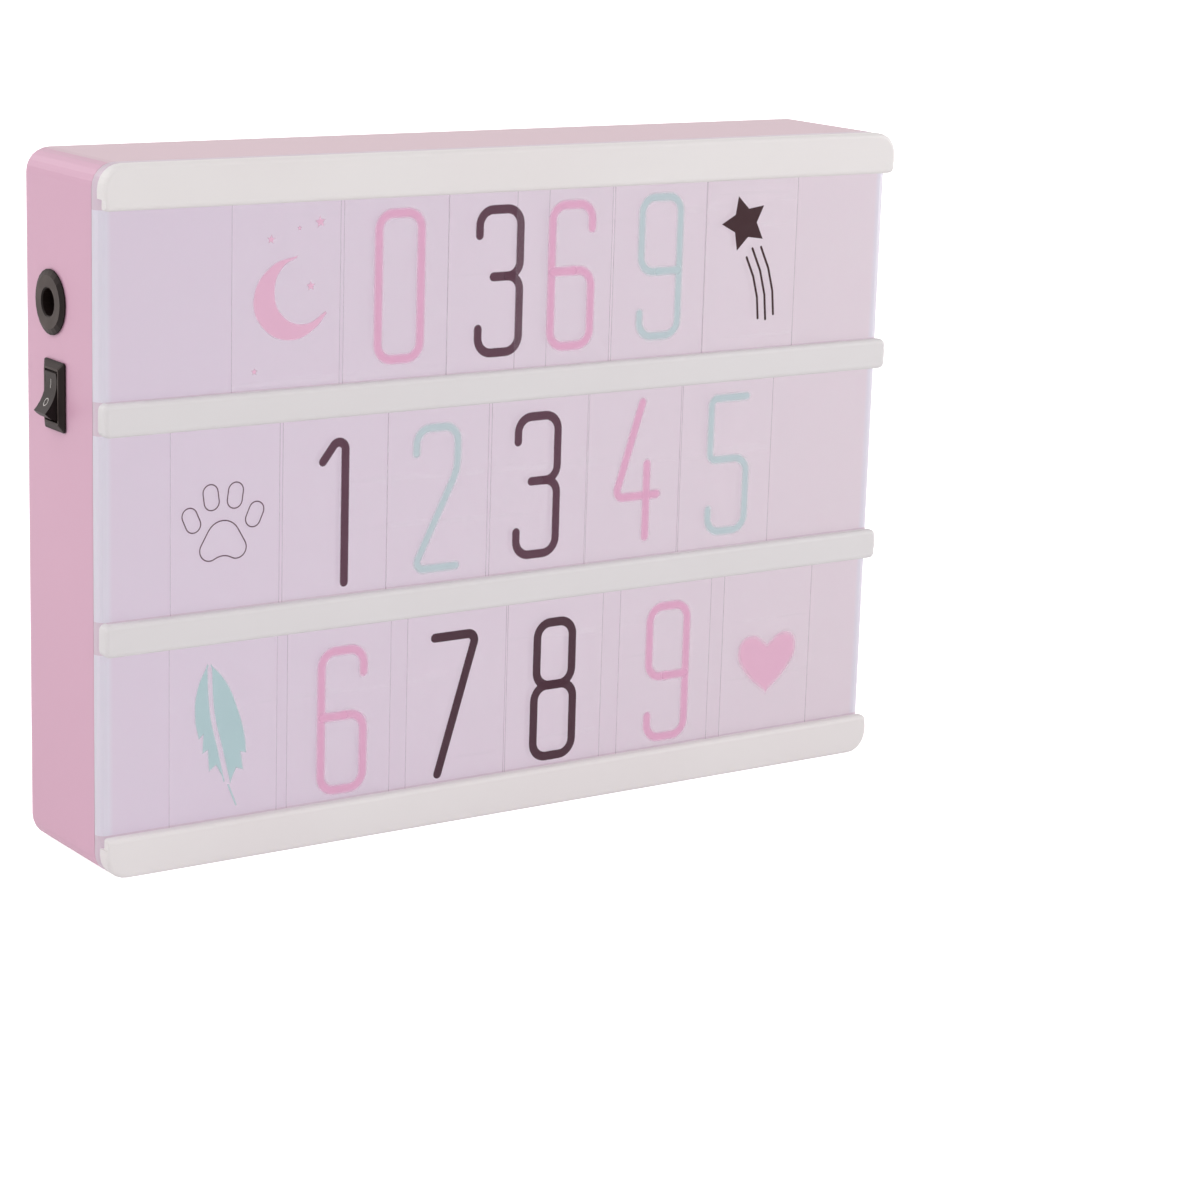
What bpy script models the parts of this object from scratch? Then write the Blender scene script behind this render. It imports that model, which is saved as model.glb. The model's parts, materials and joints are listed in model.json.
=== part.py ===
"""A table-top cinema light box with sliding letter cards.

Metres, +Z up, +X to the right seen from the front, +Y to the back. The origin is the point of the
underside below the middle of the box. The card rails face -Y, and the lead socket and the rocker
switch are on the left side, at -X.
"""

import math

import bmesh
import bpy
from mathutils import Matrix, Vector

X, Y, Z = 0, 1, 2

# Whole box
WIDTH = 0.300
HEIGHT = 0.220
DEPTH = 0.055
WALL = 0.0022
CORNER_INNER_RADIUS = 0.0053
BACK_INNER_RADIUS = 0.0010
RETURN_DEPTH = 0.0035
CORNER_STEPS = 6
EDGE_STEPS = 3
ROUND_SIDES = 24
SMALL_SIDES = 12
LENS_SIDES = 10
SCREW_SIDES = 8
SMOOTH_ANGLE = math.radians(30)

# Clearances and overruns
GAP = 0.0003
SEAM_GAP = 0.0002
OVERRUN = 0.0005
TOUCH = 0.000001
PARALLEL_SHARE = 0.999

# Rails and cards
TOP_RAIL_HEIGHT = 0.0138
MIDDLE_RAIL_HEIGHT = 0.0103
BOTTOM_RAIL_HEIGHT = 0.0133
LIP_HEIGHT = 0.0036
LIP_THICKNESS = 0.0030
LIP_SET_IN = 0.0008
RAIL_FRONT_RADIUS = 0.0014
RAIL_END_RADIUS = 0.0022
CARD_WIDTH = 0.038
CARD_THICKNESS = 0.0004
PEG_RADIUS = 0.0015
PEG_TIP = 0.0006
PEG_PLACE_SHARES = (-0.44, -0.15, 0.15, 0.44)

# Middle of each card along its row, as shares of the box's width, and the groove layer it slides in
CARD_ROW_SHARES = {
    "top": (-0.2872, -0.1578, -0.0292, 0.0550, 0.1802, 0.3060),
    "middle": (-0.3566, -0.2277, -0.1000, 0.0290, 0.1556, 0.2825),
    "bottom": (-0.3578, -0.2202, -0.0713, 0.0559, 0.2079, 0.3514),
}

# Front panel
PANEL_PLATE = 0.0020
PANEL_WALL = 0.0030
PANEL_EDGE_SHARE = 0.8
SKIRT_WALL = 0.0012
SKIRT_DEPTH = 0.0040
SKIRT_ROOT = 0.0018

# Screw posts at the corners
CORNER_POST_INSET = 0.0110
POST_WALL = 0.0016
WELL_RADIUS = 0.0038
WELL_FLOOR = 0.0030
POST_LENGTH = 0.0313
BOSS_RADIUS = 0.0040
CASE_SCREW_RADIUS = 0.0013
CASE_SCREW_LENGTH = 0.0115
CASE_HEAD_RADIUS = 0.0029
HEAD_HEIGHT = 0.0019
RECESS_DEPTH = 0.0011
RECESS_WIDTH = 0.0008
RECESS_SHARE = 0.55
HEAD_TOP_SHARE = 0.8

# Reflector plate and light strips
REFLECTOR_THICKNESS = 0.0010
REFLECTOR_BACK_SPACE = 0.0200
REFLECTOR_MARGIN = 0.0008
REFLECTOR_POST_RADIUS = 0.0030
REFLECTOR_POST_INSET = 0.0220
REFLECTOR_POST_SHARE = 0.333
SMALL_SCREW_RADIUS = 0.0010
SMALL_SCREW_LENGTH = 0.0070
SMALL_HEAD_RADIUS = 0.0024
STRIP_END_SPACE = 0.0067
STRIP_WIDTH = 0.0100
STRIP_THICKNESS = 0.0010
LENS_RADIUS = 0.0036
LENS_TOP_RADIUS = 0.0022
LENS_HEIGHT = 0.0026
LENSES_PER_STRIP = 9

# Battery tray, door and contacts
BATTERY_COUNT = 6
BATTERY_DIAMETER = 0.0145
BATTERY_LENGTH = 0.0505
BATTERY_CLEARANCE = 0.0005
DIVIDER_WALL = 0.0008
DIVIDER_HEIGHT = 0.0075
TRAY_WALL = 0.0020
TRAY_FLOOR = 0.0016
TRAY_BASE = 0.0600
LEDGE = 0.0012
CONTACT_PLATE = 0.0005
CONTACT_HEIGHT = 0.0094
CONTACT_MARGIN = 0.0046
DIMPLE_RADIUS = 0.0027
DIMPLE_TIP_RADIUS = 0.0018
DIMPLE_HEIGHT = 0.0010
SPRING_WIRE_RADIUS = 0.00035
SPRING_BASE_RADIUS = 0.0040
SPRING_TIP_RADIUS = 0.0026
SPRING_HEIGHT = 0.0045
SPRING_TURNS = 3.5
SPRING_POINTS_PER_TURN = 8
TAIL_WIDTH = 0.0030
TAIL_LENGTH = 0.0030
EAR_WIDTH = 0.0080
EAR_HEIGHT = 0.0100
EAR_THICKNESS = 0.0020
EAR_STANDOFF = 0.0036
EAR_BOSS_RADIUS = 0.0030
DOOR_GAP = 0.0005
DOOR_SKIN = 0.0013
DOOR_RIM = 0.0022
HOOK_WIDTH = 0.0060
HOOK_REACH = 0.0028
HOOK_THICKNESS = 0.0015
HOOK_SPACE = 0.0007
HOOK_ROOT = 0.0020
TONGUE_WIDTH = 0.0140
TONGUE_LENGTH = 0.0110
TONGUE_SLOT = 0.0009
NIB_RADIUS = 0.0006
NIB_STAND = 0.0003
THUMB_RADIUS = 0.0085
THUMB_DEPTH = 0.0012
DOOR_POCKETS = 3

# Keyholes in the back
KEYHOLE_SHARE = 0.25
KEYHOLE_DROP = 0.0330
KEYHOLE_RADIUS = 0.0042
KEYHOLE_SLOT_RADIUS = 0.0021
KEYHOLE_RISE = 0.0075
KEYHOLE_STEPS = 16

# Lead socket and rocker switch on the left side
SOCKET_Y = 0.0078
SWITCH_Y = 0.0050
SOCKET_SHARE = 0.795
SWITCH_SHARE = 0.6665
FLANGE_RADIUS = 0.0101
FLANGE_THICKNESS = 0.0011
FLANGE_RIM_SHARE = 0.3
FLANGE_FACE_SHARE = 0.82
FLANGE_EDGE = 0.0008
MOUTH_RADIUS = 0.0043
BARREL_RADIUS = 0.0058
BARREL_LENGTH = 0.0140
BARREL_END_WALL = 0.0020
PIN_RADIUS = 0.00105
PIN_SET_BACK = 0.0051
PIN_COLLAR_RADIUS = 0.0022
PIN_COLLAR_LENGTH = 0.0010
PIN_TAIL = 0.0030
PIN_TIP_SHARE = 0.6
NUT_FLATS = 0.0155
NUT_THICKNESS = 0.0030
BEZEL_HEIGHT = 0.0215
BEZEL_WIDTH = 0.0138
BEZEL_THICKNESS = 0.0015
BEZEL_RIM_SHARE = 0.3
BEZEL_FACE_SHARE = 0.25
BEZEL_CORNER_RADIUS = 0.0007
SWITCH_CASE_SHARE = 0.87
SWITCH_CASE_DEPTH = 0.0115
SWITCH_FLOOR = 0.0020
ROCKER_WIDTH = 0.0078
ROCKER_SIDE_GAP = 0.00035
ROCKER_END_GAP = 0.00035
ROCKER_STAND = 0.0043
ROCKER_HALF_HEIGHT = 0.0063
ROCKER_DISH = 0.0016
ROCKER_PIVOT_DEPTH = 0.0002
ROCKER_TILT = math.radians(17)
ROCKER_BACK_ANGLE = math.radians(100)
ROCKER_FACE_STEPS = 8
ROCKER_END_STEPS = 4
TRUNNION_RADIUS = 0.0011
TRUNNION_REACH = 0.0010
TERMINAL_WIDTH = 0.0048
TERMINAL_THICKNESS = 0.0008
TERMINAL_TAIL = 0.0070
TERMINAL_SPACING = 0.0090
TERMINAL_HEAD = 0.0020
TERMINAL_HEAD_THICKNESS = 0.0006

# Driver board
BOARD_LENGTH = 0.0400
BOARD_HEIGHT = 0.0220
BOARD_THICKNESS = 0.0016
BOARD_OFFSET = 0.0600
BOARD_STANDOFF = 0.0080
BOARD_POST_RADIUS = 0.0025
BOARD_PIN_RADIUS = 0.0011
BOARD_POST_MARGIN = 0.0040
CAPACITOR_RADIUS = 0.0040
CAPACITOR_HEIGHT = 0.0060
CHOKE_RADIUS = 0.0042
CHOKE_HEIGHT = 0.0040
CHIP_SIZE = 0.0055
CHIP_HEIGHT = 0.0016
COMPONENT_SHARES = {"capacitor": -0.20, "choke": 0.02, "chip": 0.24}

# Wires
WIRE_RADIUS = 0.0007
WIRE_STEP = 0.0042
WIRE_GAP = 0.0004
WIRE_LEAD = 0.0050
WIRE_PITCH = 0.0040

# Worked out from the sizes above
HALF_WIDTH = WIDTH / 2
HALF_DEPTH = DEPTH / 2
CORNER_RADIUS = WALL + CORNER_INNER_RADIUS
BACK_RADIUS = WALL + BACK_INNER_RADIUS
GROOVE_DEPTH = 2 * CARD_THICKNESS + 3 * GAP
RAIL_STAND = GROOVE_DEPTH + LIP_THICKNESS
RAIL_FRONT_Y = -HALF_DEPTH
PANEL_Y = RAIL_FRONT_Y + RAIL_STAND
PANEL_BACK_Y = PANEL_Y + PANEL_PLATE
PANEL_EDGE_RADIUS = RETURN_DEPTH * PANEL_EDGE_SHARE
SEAM_Y = PANEL_Y + RETURN_DEPTH
BACK_INNER_Y = HALF_DEPTH - WALL
WINDOW_HEIGHT = (HEIGHT - TOP_RAIL_HEIGHT - BOTTOM_RAIL_HEIGHT - 2 * MIDDLE_RAIL_HEIGHT) / 3
CARD_HEIGHT = WINDOW_HEIGHT + 2 * LIP_HEIGHT - 3 * GAP
ROW_BASE = {
    "bottom": BOTTOM_RAIL_HEIGHT,
    "middle": BOTTOM_RAIL_HEIGHT + WINDOW_HEIGHT + MIDDLE_RAIL_HEIGHT,
    "top": BOTTOM_RAIL_HEIGHT + 2 * (WINDOW_HEIGHT + MIDDLE_RAIL_HEIGHT),
}
POST_RADIUS = WELL_RADIUS + POST_WALL
POST_FRONT_Y = BACK_INNER_Y - POST_LENGTH
WELL_FLOOR_Y = POST_FRONT_Y + WELL_FLOOR
REFLECTOR_BACK_Y = BACK_INNER_Y - REFLECTOR_BACK_SPACE
REFLECTOR_FRONT_Y = REFLECTOR_BACK_Y - REFLECTOR_THICKNESS
STRIP_FRONT_Y = REFLECTOR_FRONT_Y - GAP - STRIP_THICKNESS
BAY_PITCH = BATTERY_DIAMETER + BATTERY_CLEARANCE + DIVIDER_WALL
TRAY_HALF = BATTERY_COUNT * BAY_PITCH / 2
CONTACT_STACK = GAP + CONTACT_PLATE
BAY_LENGTH = BATTERY_LENGTH + SPRING_HEIGHT + DIMPLE_HEIGHT + 2 * CONTACT_STACK + BATTERY_CLEARANCE
TRAY_TOP = TRAY_BASE + BAY_LENGTH
TRAY_RIM_Y = BACK_INNER_Y - GAP
TRAY_FLOOR_Y = BACK_INNER_Y - BATTERY_DIAMETER - BATTERY_CLEARANCE
BATTERY_Y = TRAY_FLOOR_Y + BATTERY_DIAMETER / 2
HATCH_HALF = TRAY_HALF + LEDGE
HATCH_LOW = TRAY_BASE - LEDGE
HATCH_HIGH = TRAY_TOP + LEDGE
EAR_Y = BACK_INNER_Y - EAR_STANDOFF
SOCKET_Z = HEIGHT * SOCKET_SHARE
SWITCH_Z = HEIGHT * SWITCH_SHARE
KEYHOLE_Z = HEIGHT - KEYHOLE_DROP
SIDE_X = -HALF_WIDTH
SIDE_INNER_X = SIDE_X + WALL
RAIL_STOP_X = SIDE_X + RAIL_END_RADIUS
FLANGE_BACK_X = SIDE_X - GAP
FLANGE_FRONT_X = FLANGE_BACK_X - FLANGE_THICKNESS
BARREL_BACK_X = FLANGE_BACK_X + BARREL_LENGTH
PIN_COLLAR_X = BARREL_BACK_X + GAP
PIN_END_X = PIN_COLLAR_X + PIN_COLLAR_LENGTH + PIN_TAIL
BEZEL_FRONT_X = FLANGE_BACK_X - BEZEL_THICKNESS
SWITCH_CASE_WIDTH = BEZEL_WIDTH * SWITCH_CASE_SHARE
SWITCH_CASE_HEIGHT = BEZEL_HEIGHT * SWITCH_CASE_SHARE
SWITCH_BACK_X = FLANGE_BACK_X + SWITCH_CASE_DEPTH
ROCKER_RADIUS = math.hypot(ROCKER_STAND, ROCKER_HALF_HEIGHT)
ROCKER_X = SIDE_X + ROCKER_PIVOT_DEPTH
BLADE_END_X = SWITCH_BACK_X + TERMINAL_TAIL
CONTROL_BAY_X = max(PIN_END_X, BLADE_END_X) + FLANGE_RADIUS
STRIP_LENGTH = 2 * (-CONTROL_BAY_X - STRIP_END_SPACE)
BOARD_X = SIDE_X + BOARD_OFFSET
BOARD_Y = BACK_INNER_Y - BOARD_STANDOFF
BOARD_POST_X = BOARD_LENGTH / 2 - BOARD_POST_MARGIN


def clear_scene():
    for obj in list(bpy.data.objects):
        bpy.data.objects.remove(obj, do_unlink=True)


def new_collection(name):
    group = bpy.data.collections.new(name)
    bpy.context.scene.collection.children.link(group)
    return group


def new_material(name, colour, roughness, metallic=0.0, alpha=1.0):
    """A Principled material from a colour in sRGB hex."""
    material = bpy.data.materials.new(name)
    material.use_nodes = True
    shader = material.node_tree.nodes["Principled BSDF"]
    channels = [int(colour[i : i + 2], 16) / 255 for i in (1, 3, 5)]
    linear = [c / 12.92 if c <= 0.04045 else ((c + 0.055) / 1.055) ** 2.4 for c in channels]
    shader.inputs["Base Color"].default_value = (*linear, 1)
    shader.inputs["Roughness"].default_value = roughness
    shader.inputs["Metallic"].default_value = metallic
    shader.inputs["Alpha"].default_value = alpha
    material.diffuse_color = (*linear, 1)
    return material


clear_scene()
PARTS = new_collection("light_box")
CUTTERS = new_collection("cutters")
PINK_ABS = new_material("pink moulded ABS", "#dbafc4", 0.42)
MILKY_PANEL = new_material("milky polystyrene", "#d7cad8", 0.35)
RAIL_WHITE = new_material("warm white polystyrene", "#e5dfdf", 0.38)
CARD_FILM = new_material("clear printed film", "#e0d3df", 0.20, alpha=0.45)
BLACK_PLASTIC = new_material("black nylon", "#2b2726", 0.50)
WHITE_SHEET = new_material("white reflector sheet", "#f2f2ee", 0.60)
BOARD_GREEN = new_material("green circuit board", "#2e6a48", 0.45)
NICKEL = new_material("nickel plated steel", "#bfbdb8", 0.25, 1.0)
ZINC = new_material("zinc plated steel", "#a9a9a6", 0.35, 1.0)
RED_PVC = new_material("red wire sleeve", "#b3262a", 0.45)
BLACK_PVC = new_material("black wire sleeve", "#1f1f20", 0.45)


def finish(name, bm, group, at=(0, 0, 0), material=None):
    """Makes an object of a mesh in the making, with its origin at a point."""
    bmesh.ops.recalc_face_normals(bm, faces=bm.faces)
    bmesh.ops.translate(bm, verts=bm.verts, vec=-Vector(at))
    mesh = bpy.data.meshes.new(name)
    bm.to_mesh(mesh)
    bm.free()
    obj = bpy.data.objects.new(name, mesh)
    obj.location = at
    group.objects.link(obj)
    if material:
        mesh.materials.append(material)
        mesh.shade_smooth()
        mesh.set_sharp_from_angle(angle=SMOOTH_ANGLE)
    if group is CUTTERS:
        obj.hide_render = True
        obj.display_type = "WIRE"
    return obj


def add_box(bm, low, high):
    """Adds a box between two corners."""
    low, high = Vector(low), Vector(high)
    place = Matrix.Translation((low + high) / 2) @ Matrix.Diagonal((*(high - low), 1))
    return bmesh.ops.create_cube(bm, size=1, matrix=place)["verts"]


def add_round(bm, start, end, radius, sides=ROUND_SIDES, end_radius=None):
    """Adds a cylinder or a cone between two points of its axis."""
    start, end = Vector(start), Vector(end)
    turn = (end - start).to_track_quat("Z", "Y").to_matrix().to_4x4()
    made = bmesh.ops.create_cone(
        bm,
        cap_ends=True,
        segments=sides,
        radius1=radius,
        radius2=radius if end_radius is None else end_radius,
        depth=(end - start).length,
        matrix=Matrix.Translation((start + end) / 2) @ turn,
    )
    return made["verts"]


def edges_along(bm, axis, keep=lambda middle: True):
    """The edges that run along an axis and whose middle is kept."""
    found = []
    for edge in bm.edges:
        run = (edge.verts[1].co - edge.verts[0].co).normalized()
        if abs(run[axis]) > PARALLEL_SHARE and keep((edge.verts[0].co + edge.verts[1].co) / 2):
            found.append(edge)
    return found


def edges_at(bm, axis, value):
    """The edges that lie in a plane square to an axis."""
    return [e for e in bm.edges if all(abs(v.co[axis] - value) < TOUCH for v in e.verts)]


def round_edges(bm, edges, radius, steps):
    bmesh.ops.bevel(
        bm, geom=edges, offset=radius, offset_type="OFFSET", segments=steps, profile=0.5, affect="EDGES"
    )


def rounded_block(low, high, radius, steps=CORNER_STEPS):
    """A block whose four edges from front to back are rounded."""
    bm = bmesh.new()
    add_box(bm, low, high)
    round_edges(bm, edges_along(bm, Y), radius, steps)
    return bm


def boolean(obj, tool, operation):
    step = obj.modifiers.new(tool.name, "BOOLEAN")
    step.operation = operation
    step.object = tool
    step.solver = "EXACT"


def cut(obj, tool):
    boolean(obj, tool, "DIFFERENCE")


def join(obj, tool):
    boolean(obj, tool, "UNION")


def cutter(name, bm):
    return finish(name, bm, CUTTERS)


def boxes(name, pairs):
    """One helper object that holds several separate boxes."""
    bm = bmesh.new()
    for low, high in pairs:
        add_box(bm, low, high)
    return cutter(name, bm)


def rounds(name, places, radius, start, end, sides=ROUND_SIDES):
    """One helper object that holds several cylinders from front to back, at (x, z) places."""
    bm = bmesh.new()
    for x, z in places:
        add_round(bm, (x, start, z), (x, end, z), radius, sides)
    return cutter(name, bm)


def add_turned(bm, profile, at, axis, sides=SMALL_SIDES):
    """Adds a turned shape: (along, radius) points spun about an axis through a point."""
    along = Vector([float(i == axis) for i in range(3)])
    across = along.orthogonal().normalized()
    points = [bm.verts.new(Vector(at) + along * run + across * radius) for run, radius in profile]
    edges = [bm.edges.new(pair) for pair in zip(points, points[1:])]
    bmesh.ops.spin(
        bm, geom=points + edges, cent=at, axis=along, angle=2 * math.pi, steps=sides, use_merge=True
    )
    bmesh.ops.remove_doubles(bm, verts=bm.verts, dist=TOUCH)


def turned_about_y(name, profile, places, sides=SMALL_SIDES):
    """One helper object of stepped round bars from front to back, at (x, z) places.

    The profile is a list of (y, radius) with rising y.
    """
    closed = [(profile[0][0], 0), *profile, (profile[-1][0], 0)]
    bm = bmesh.new()
    for x, z in places:
        add_turned(bm, closed, (x, 0, z), Y, sides)
    return cutter(name, bm)


def turned_about_x(name, profile, at, group, material=None, sides=ROUND_SIDES):
    """A turned piece whose axis runs along X through a point.

    The profile's (x, radius) points run along its outer side from the front to the inside.
    """
    mesh = bpy.data.meshes.new(name)
    points = [(radius, 0, x - at[X]) for x, radius in reversed(profile)]
    mesh.from_pydata(points, [(i, i + 1) for i in range(len(points) - 1)], [])
    obj = bpy.data.objects.new(name, mesh)
    obj.location = at
    obj.rotation_euler = (0, math.pi / 2, 0)
    group.objects.link(obj)
    screw = obj.modifiers.new("turn", "SCREW")
    screw.steps = screw.render_steps = sides
    screw.use_merge_vertices = True
    screw.merge_threshold = TOUCH
    screw.use_smooth_shade = False
    if material:
        mesh.materials.append(material)
    if group is CUTTERS:
        obj.hide_render = True
        obj.display_type = "WIRE"
    return obj


def baked(obj):
    """The mesh of an object with its modifiers applied. The object itself is removed."""
    graph = bpy.context.evaluated_depsgraph_get()
    mesh = bpy.data.meshes.new_from_object(obj.evaluated_get(graph))
    mesh.name = obj.name
    bpy.data.objects.remove(obj, do_unlink=True)
    return mesh


def copies(mesh, group, placed):
    """Puts the same mesh in several objects: (name, matrix) pairs."""
    for name, matrix in placed:
        obj = bpy.data.objects.new(name, mesh)
        obj.matrix_world = matrix
        group.objects.link(obj)


def mirrored(x, z_low, z_high):
    """Four places, the same distance from both sides, at two heights."""
    return [(side * x, z) for side in (-1, 1) for z in (z_low, z_high)]


CORNER_PLACES = mirrored(HALF_WIDTH - CORNER_POST_INSET, CORNER_POST_INSET, HEIGHT - CORNER_POST_INSET)
REFLECTOR_PLACES = mirrored(
    WIDTH * REFLECTOR_POST_SHARE, REFLECTOR_POST_INSET, HEIGHT - REFLECTOR_POST_INSET
)
EAR_X = TRAY_HALF + TRAY_WALL + EAR_WIDTH / 2
EAR_PLACES = [(side * EAR_X, (TRAY_BASE + TRAY_TOP) / 2) for side in (-1, 1)]
BOARD_PLACES = [(BOARD_X + side * BOARD_POST_X, SWITCH_Z) for side in (-1, 1)]
KEYHOLE_PLACES = [(side * WIDTH * KEYHOLE_SHARE, KEYHOLE_Z) for side in (-1, 1)]
HOOK_PLACES = (-BAY_PITCH, BAY_PITCH)


def rear_housing():
    """The pink tray: walls, back, posts, and the openings for door, keyholes, socket and switch."""
    bm = rounded_block((SIDE_X, SEAM_Y, 0), (HALF_WIDTH, HALF_DEPTH, HEIGHT), CORNER_RADIUS)
    round_edges(bm, edges_at(bm, Y, HALF_DEPTH), BACK_RADIUS, EDGE_STEPS)
    front = [f for f in bm.faces if abs(f.calc_center_median().y - SEAM_Y) < TOUCH]
    bmesh.ops.delete(bm, geom=front, context="FACES_ONLY")
    housing = finish("rear_housing", bm, PARTS, material=PINK_ABS)
    shell = housing.modifiers.new("walls", "SOLIDIFY")
    shell.thickness = WALL
    shell.offset = -1
    shell.use_even_offset = True

    root_y = BACK_INNER_Y + OVERRUN
    join(housing, rounds("corner_posts", CORNER_PLACES, POST_RADIUS, POST_FRONT_Y, root_y, SMALL_SIDES))
    join(
        housing,
        rounds(
            "reflector_posts",
            REFLECTOR_PLACES,
            REFLECTOR_POST_RADIUS,
            REFLECTOR_BACK_Y + GAP,
            root_y,
            SMALL_SIDES,
        ),
    )
    join(housing, rounds("ear_bosses", EAR_PLACES, EAR_BOSS_RADIUS, EAR_Y + GAP, root_y, SMALL_SIDES))
    pin_y = BOARD_Y - BOARD_THICKNESS - GAP - OVERRUN
    board_post = [
        (pin_y, BOARD_PIN_RADIUS),
        (BOARD_Y + GAP, BOARD_PIN_RADIUS),
        (BOARD_Y + GAP, BOARD_POST_RADIUS),
        (root_y, BOARD_POST_RADIUS),
    ]
    join(housing, turned_about_y("board_posts", board_post, BOARD_PLACES))

    past_y = HALF_DEPTH + OVERRUN
    well = [
        (POST_FRONT_Y - OVERRUN, CASE_SCREW_RADIUS + GAP),
        (WELL_FLOOR_Y, CASE_SCREW_RADIUS + GAP),
        (WELL_FLOOR_Y, WELL_RADIUS),
        (past_y, WELL_RADIUS),
    ]
    cut(housing, turned_about_y("screw_wells", well, CORNER_PLACES, SMALL_SIDES))
    bore = SMALL_SCREW_RADIUS + GAP
    reflector_bore_end = REFLECTOR_BACK_Y + SMALL_SCREW_LENGTH + GAP
    cut(
        housing,
        rounds(
            "reflector_bores",
            REFLECTOR_PLACES,
            bore,
            REFLECTOR_BACK_Y - OVERRUN,
            reflector_bore_end,
            SMALL_SIDES,
        ),
    )
    cut(housing, rounds("ear_bores", EAR_PLACES, bore, EAR_Y - OVERRUN, BACK_INNER_Y, SMALL_SIDES))

    hatch = [((-HATCH_HALF, BACK_INNER_Y - OVERRUN, HATCH_LOW), (HATCH_HALF, past_y, HATCH_HIGH))]
    cut(housing, boxes("hatch", hatch))
    thumb = bmesh.new()
    thumb_y = HALF_DEPTH - THUMB_DEPTH
    add_round(thumb, (0, thumb_y, HATCH_HIGH), (0, past_y, HATCH_HIGH), THUMB_RADIUS)
    cut(housing, cutter("thumb_scoop", thumb))
    cut(housing, keyholes())

    hole = bmesh.new()
    before_x, behind_x = SIDE_X - OVERRUN, SIDE_INNER_X + OVERRUN
    socket_axis = (SOCKET_Y, SOCKET_Z)
    add_round(hole, (before_x, *socket_axis), (behind_x, *socket_axis), BARREL_RADIUS + GAP)
    half_y = SWITCH_CASE_WIDTH / 2 + GAP
    half_z = SWITCH_CASE_HEIGHT / 2 + GAP
    add_box(
        hole,
        (before_x, SWITCH_Y - half_y, SWITCH_Z - half_z),
        (behind_x, SWITCH_Y + half_y, SWITCH_Z + half_z),
    )
    cut(housing, cutter("side_openings", hole))


def keyholes():
    """A cutter for the two keyholes: a round hole with a narrow slot above it."""
    bm = bmesh.new()
    start, end = BACK_INNER_Y - OVERRUN, HALF_DEPTH + OVERRUN
    for x, z in KEYHOLE_PLACES:
        outline = []
        meet = math.asin(KEYHOLE_SLOT_RADIUS / KEYHOLE_RADIUS)
        for i in range(KEYHOLE_STEPS + 1):
            turn = math.pi / 2 + meet + (2 * math.pi - 2 * meet) * i / KEYHOLE_STEPS
            outline.append((x + KEYHOLE_RADIUS * math.cos(turn), z + KEYHOLE_RADIUS * math.sin(turn)))
        top = z + KEYHOLE_RISE
        for i in range(SMALL_SIDES // 2 + 1):
            turn = 2 * math.pi * i / SMALL_SIDES
            across, up = KEYHOLE_SLOT_RADIUS * math.cos(turn), KEYHOLE_SLOT_RADIUS * math.sin(turn)
            outline.append((x + across, top + up))
        near = [bm.verts.new((u, start, v)) for u, v in outline]
        face = bm.faces.new(near)
        far = bmesh.ops.extrude_face_region(bm, geom=[face])["geom"]
        moved = [v for v in far if isinstance(v, bmesh.types.BMVert)]
        bmesh.ops.translate(bm, verts=moved, vec=(0, end - start, 0))
    return cutter("keyholes", bm)


def diffuser_panel():
    """The milky front cover: face plate, side return, locating skirt and four screw bosses."""
    rim_y = SEAM_Y - SEAM_GAP
    bm = rounded_block((SIDE_X, PANEL_Y, 0), (HALF_WIDTH, rim_y, HEIGHT), CORNER_RADIUS)
    round_edges(bm, edges_at(bm, Y, PANEL_Y), PANEL_EDGE_RADIUS, EDGE_STEPS + 1)
    panel = finish("diffuser_panel", bm, PARTS, material=MILKY_PANEL)

    def inset_block(inset, start, end):
        low = (SIDE_X + inset, start, inset)
        high = (HALF_WIDTH - inset, end, HEIGHT - inset)
        return rounded_block(low, high, max(CORNER_RADIUS - inset, GAP))

    hollow = cutter("panel_hollow", inset_block(PANEL_WALL, PANEL_BACK_Y, SEAM_Y + OVERRUN))
    cut(panel, hollow)
    skirt_outer = WALL + GAP
    skirt_start = rim_y - SKIRT_ROOT
    skirt = cutter("skirt", inset_block(skirt_outer, skirt_start, rim_y + SKIRT_DEPTH))
    skirt_end = rim_y + SKIRT_DEPTH + OVERRUN
    core = cutter("skirt_core", inset_block(skirt_outer + SKIRT_WALL, skirt_start - OVERRUN, skirt_end))
    cut(skirt, core)
    join(panel, skirt)

    boss_root = PANEL_BACK_Y - OVERRUN
    boss_end = POST_FRONT_Y - GAP
    join(panel, rounds("panel_bosses", CORNER_PLACES, BOSS_RADIUS, boss_root, boss_end, SMALL_SIDES))
    screw_tip = WELL_FLOOR_Y + GAP - CASE_SCREW_LENGTH
    bore_radius = CASE_SCREW_RADIUS + GAP
    cut(
        panel,
        rounds("boss_bores", CORNER_PLACES, bore_radius, screw_tip - GAP, boss_end + OVERRUN, SMALL_SIDES),
    )
    peg_places = [(WIDTH * share, z) for share in PEG_PLACE_SHARES for z in peg_heights().values()]
    cut(
        panel,
        rounds(
            "peg_holes",
            peg_places,
            PEG_RADIUS + GAP,
            PANEL_Y - OVERRUN,
            PANEL_BACK_Y + PEG_TIP + GAP,
            SMALL_SIDES,
        ),
    )


def rail_spans():
    """Each rail's lowest and highest point, and whether it has a lip below and above."""
    low_middle = ROW_BASE["bottom"] + WINDOW_HEIGHT
    high_middle = ROW_BASE["middle"] + WINDOW_HEIGHT
    top = ROW_BASE["top"] + WINDOW_HEIGHT
    return {
        "bottom_rail": (0, BOTTOM_RAIL_HEIGHT, False, True),
        "lower_middle_rail": (low_middle, low_middle + MIDDLE_RAIL_HEIGHT, True, True),
        "upper_middle_rail": (high_middle, high_middle + MIDDLE_RAIL_HEIGHT, True, True),
        "top_rail": (top, HEIGHT, True, False),
    }


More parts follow.
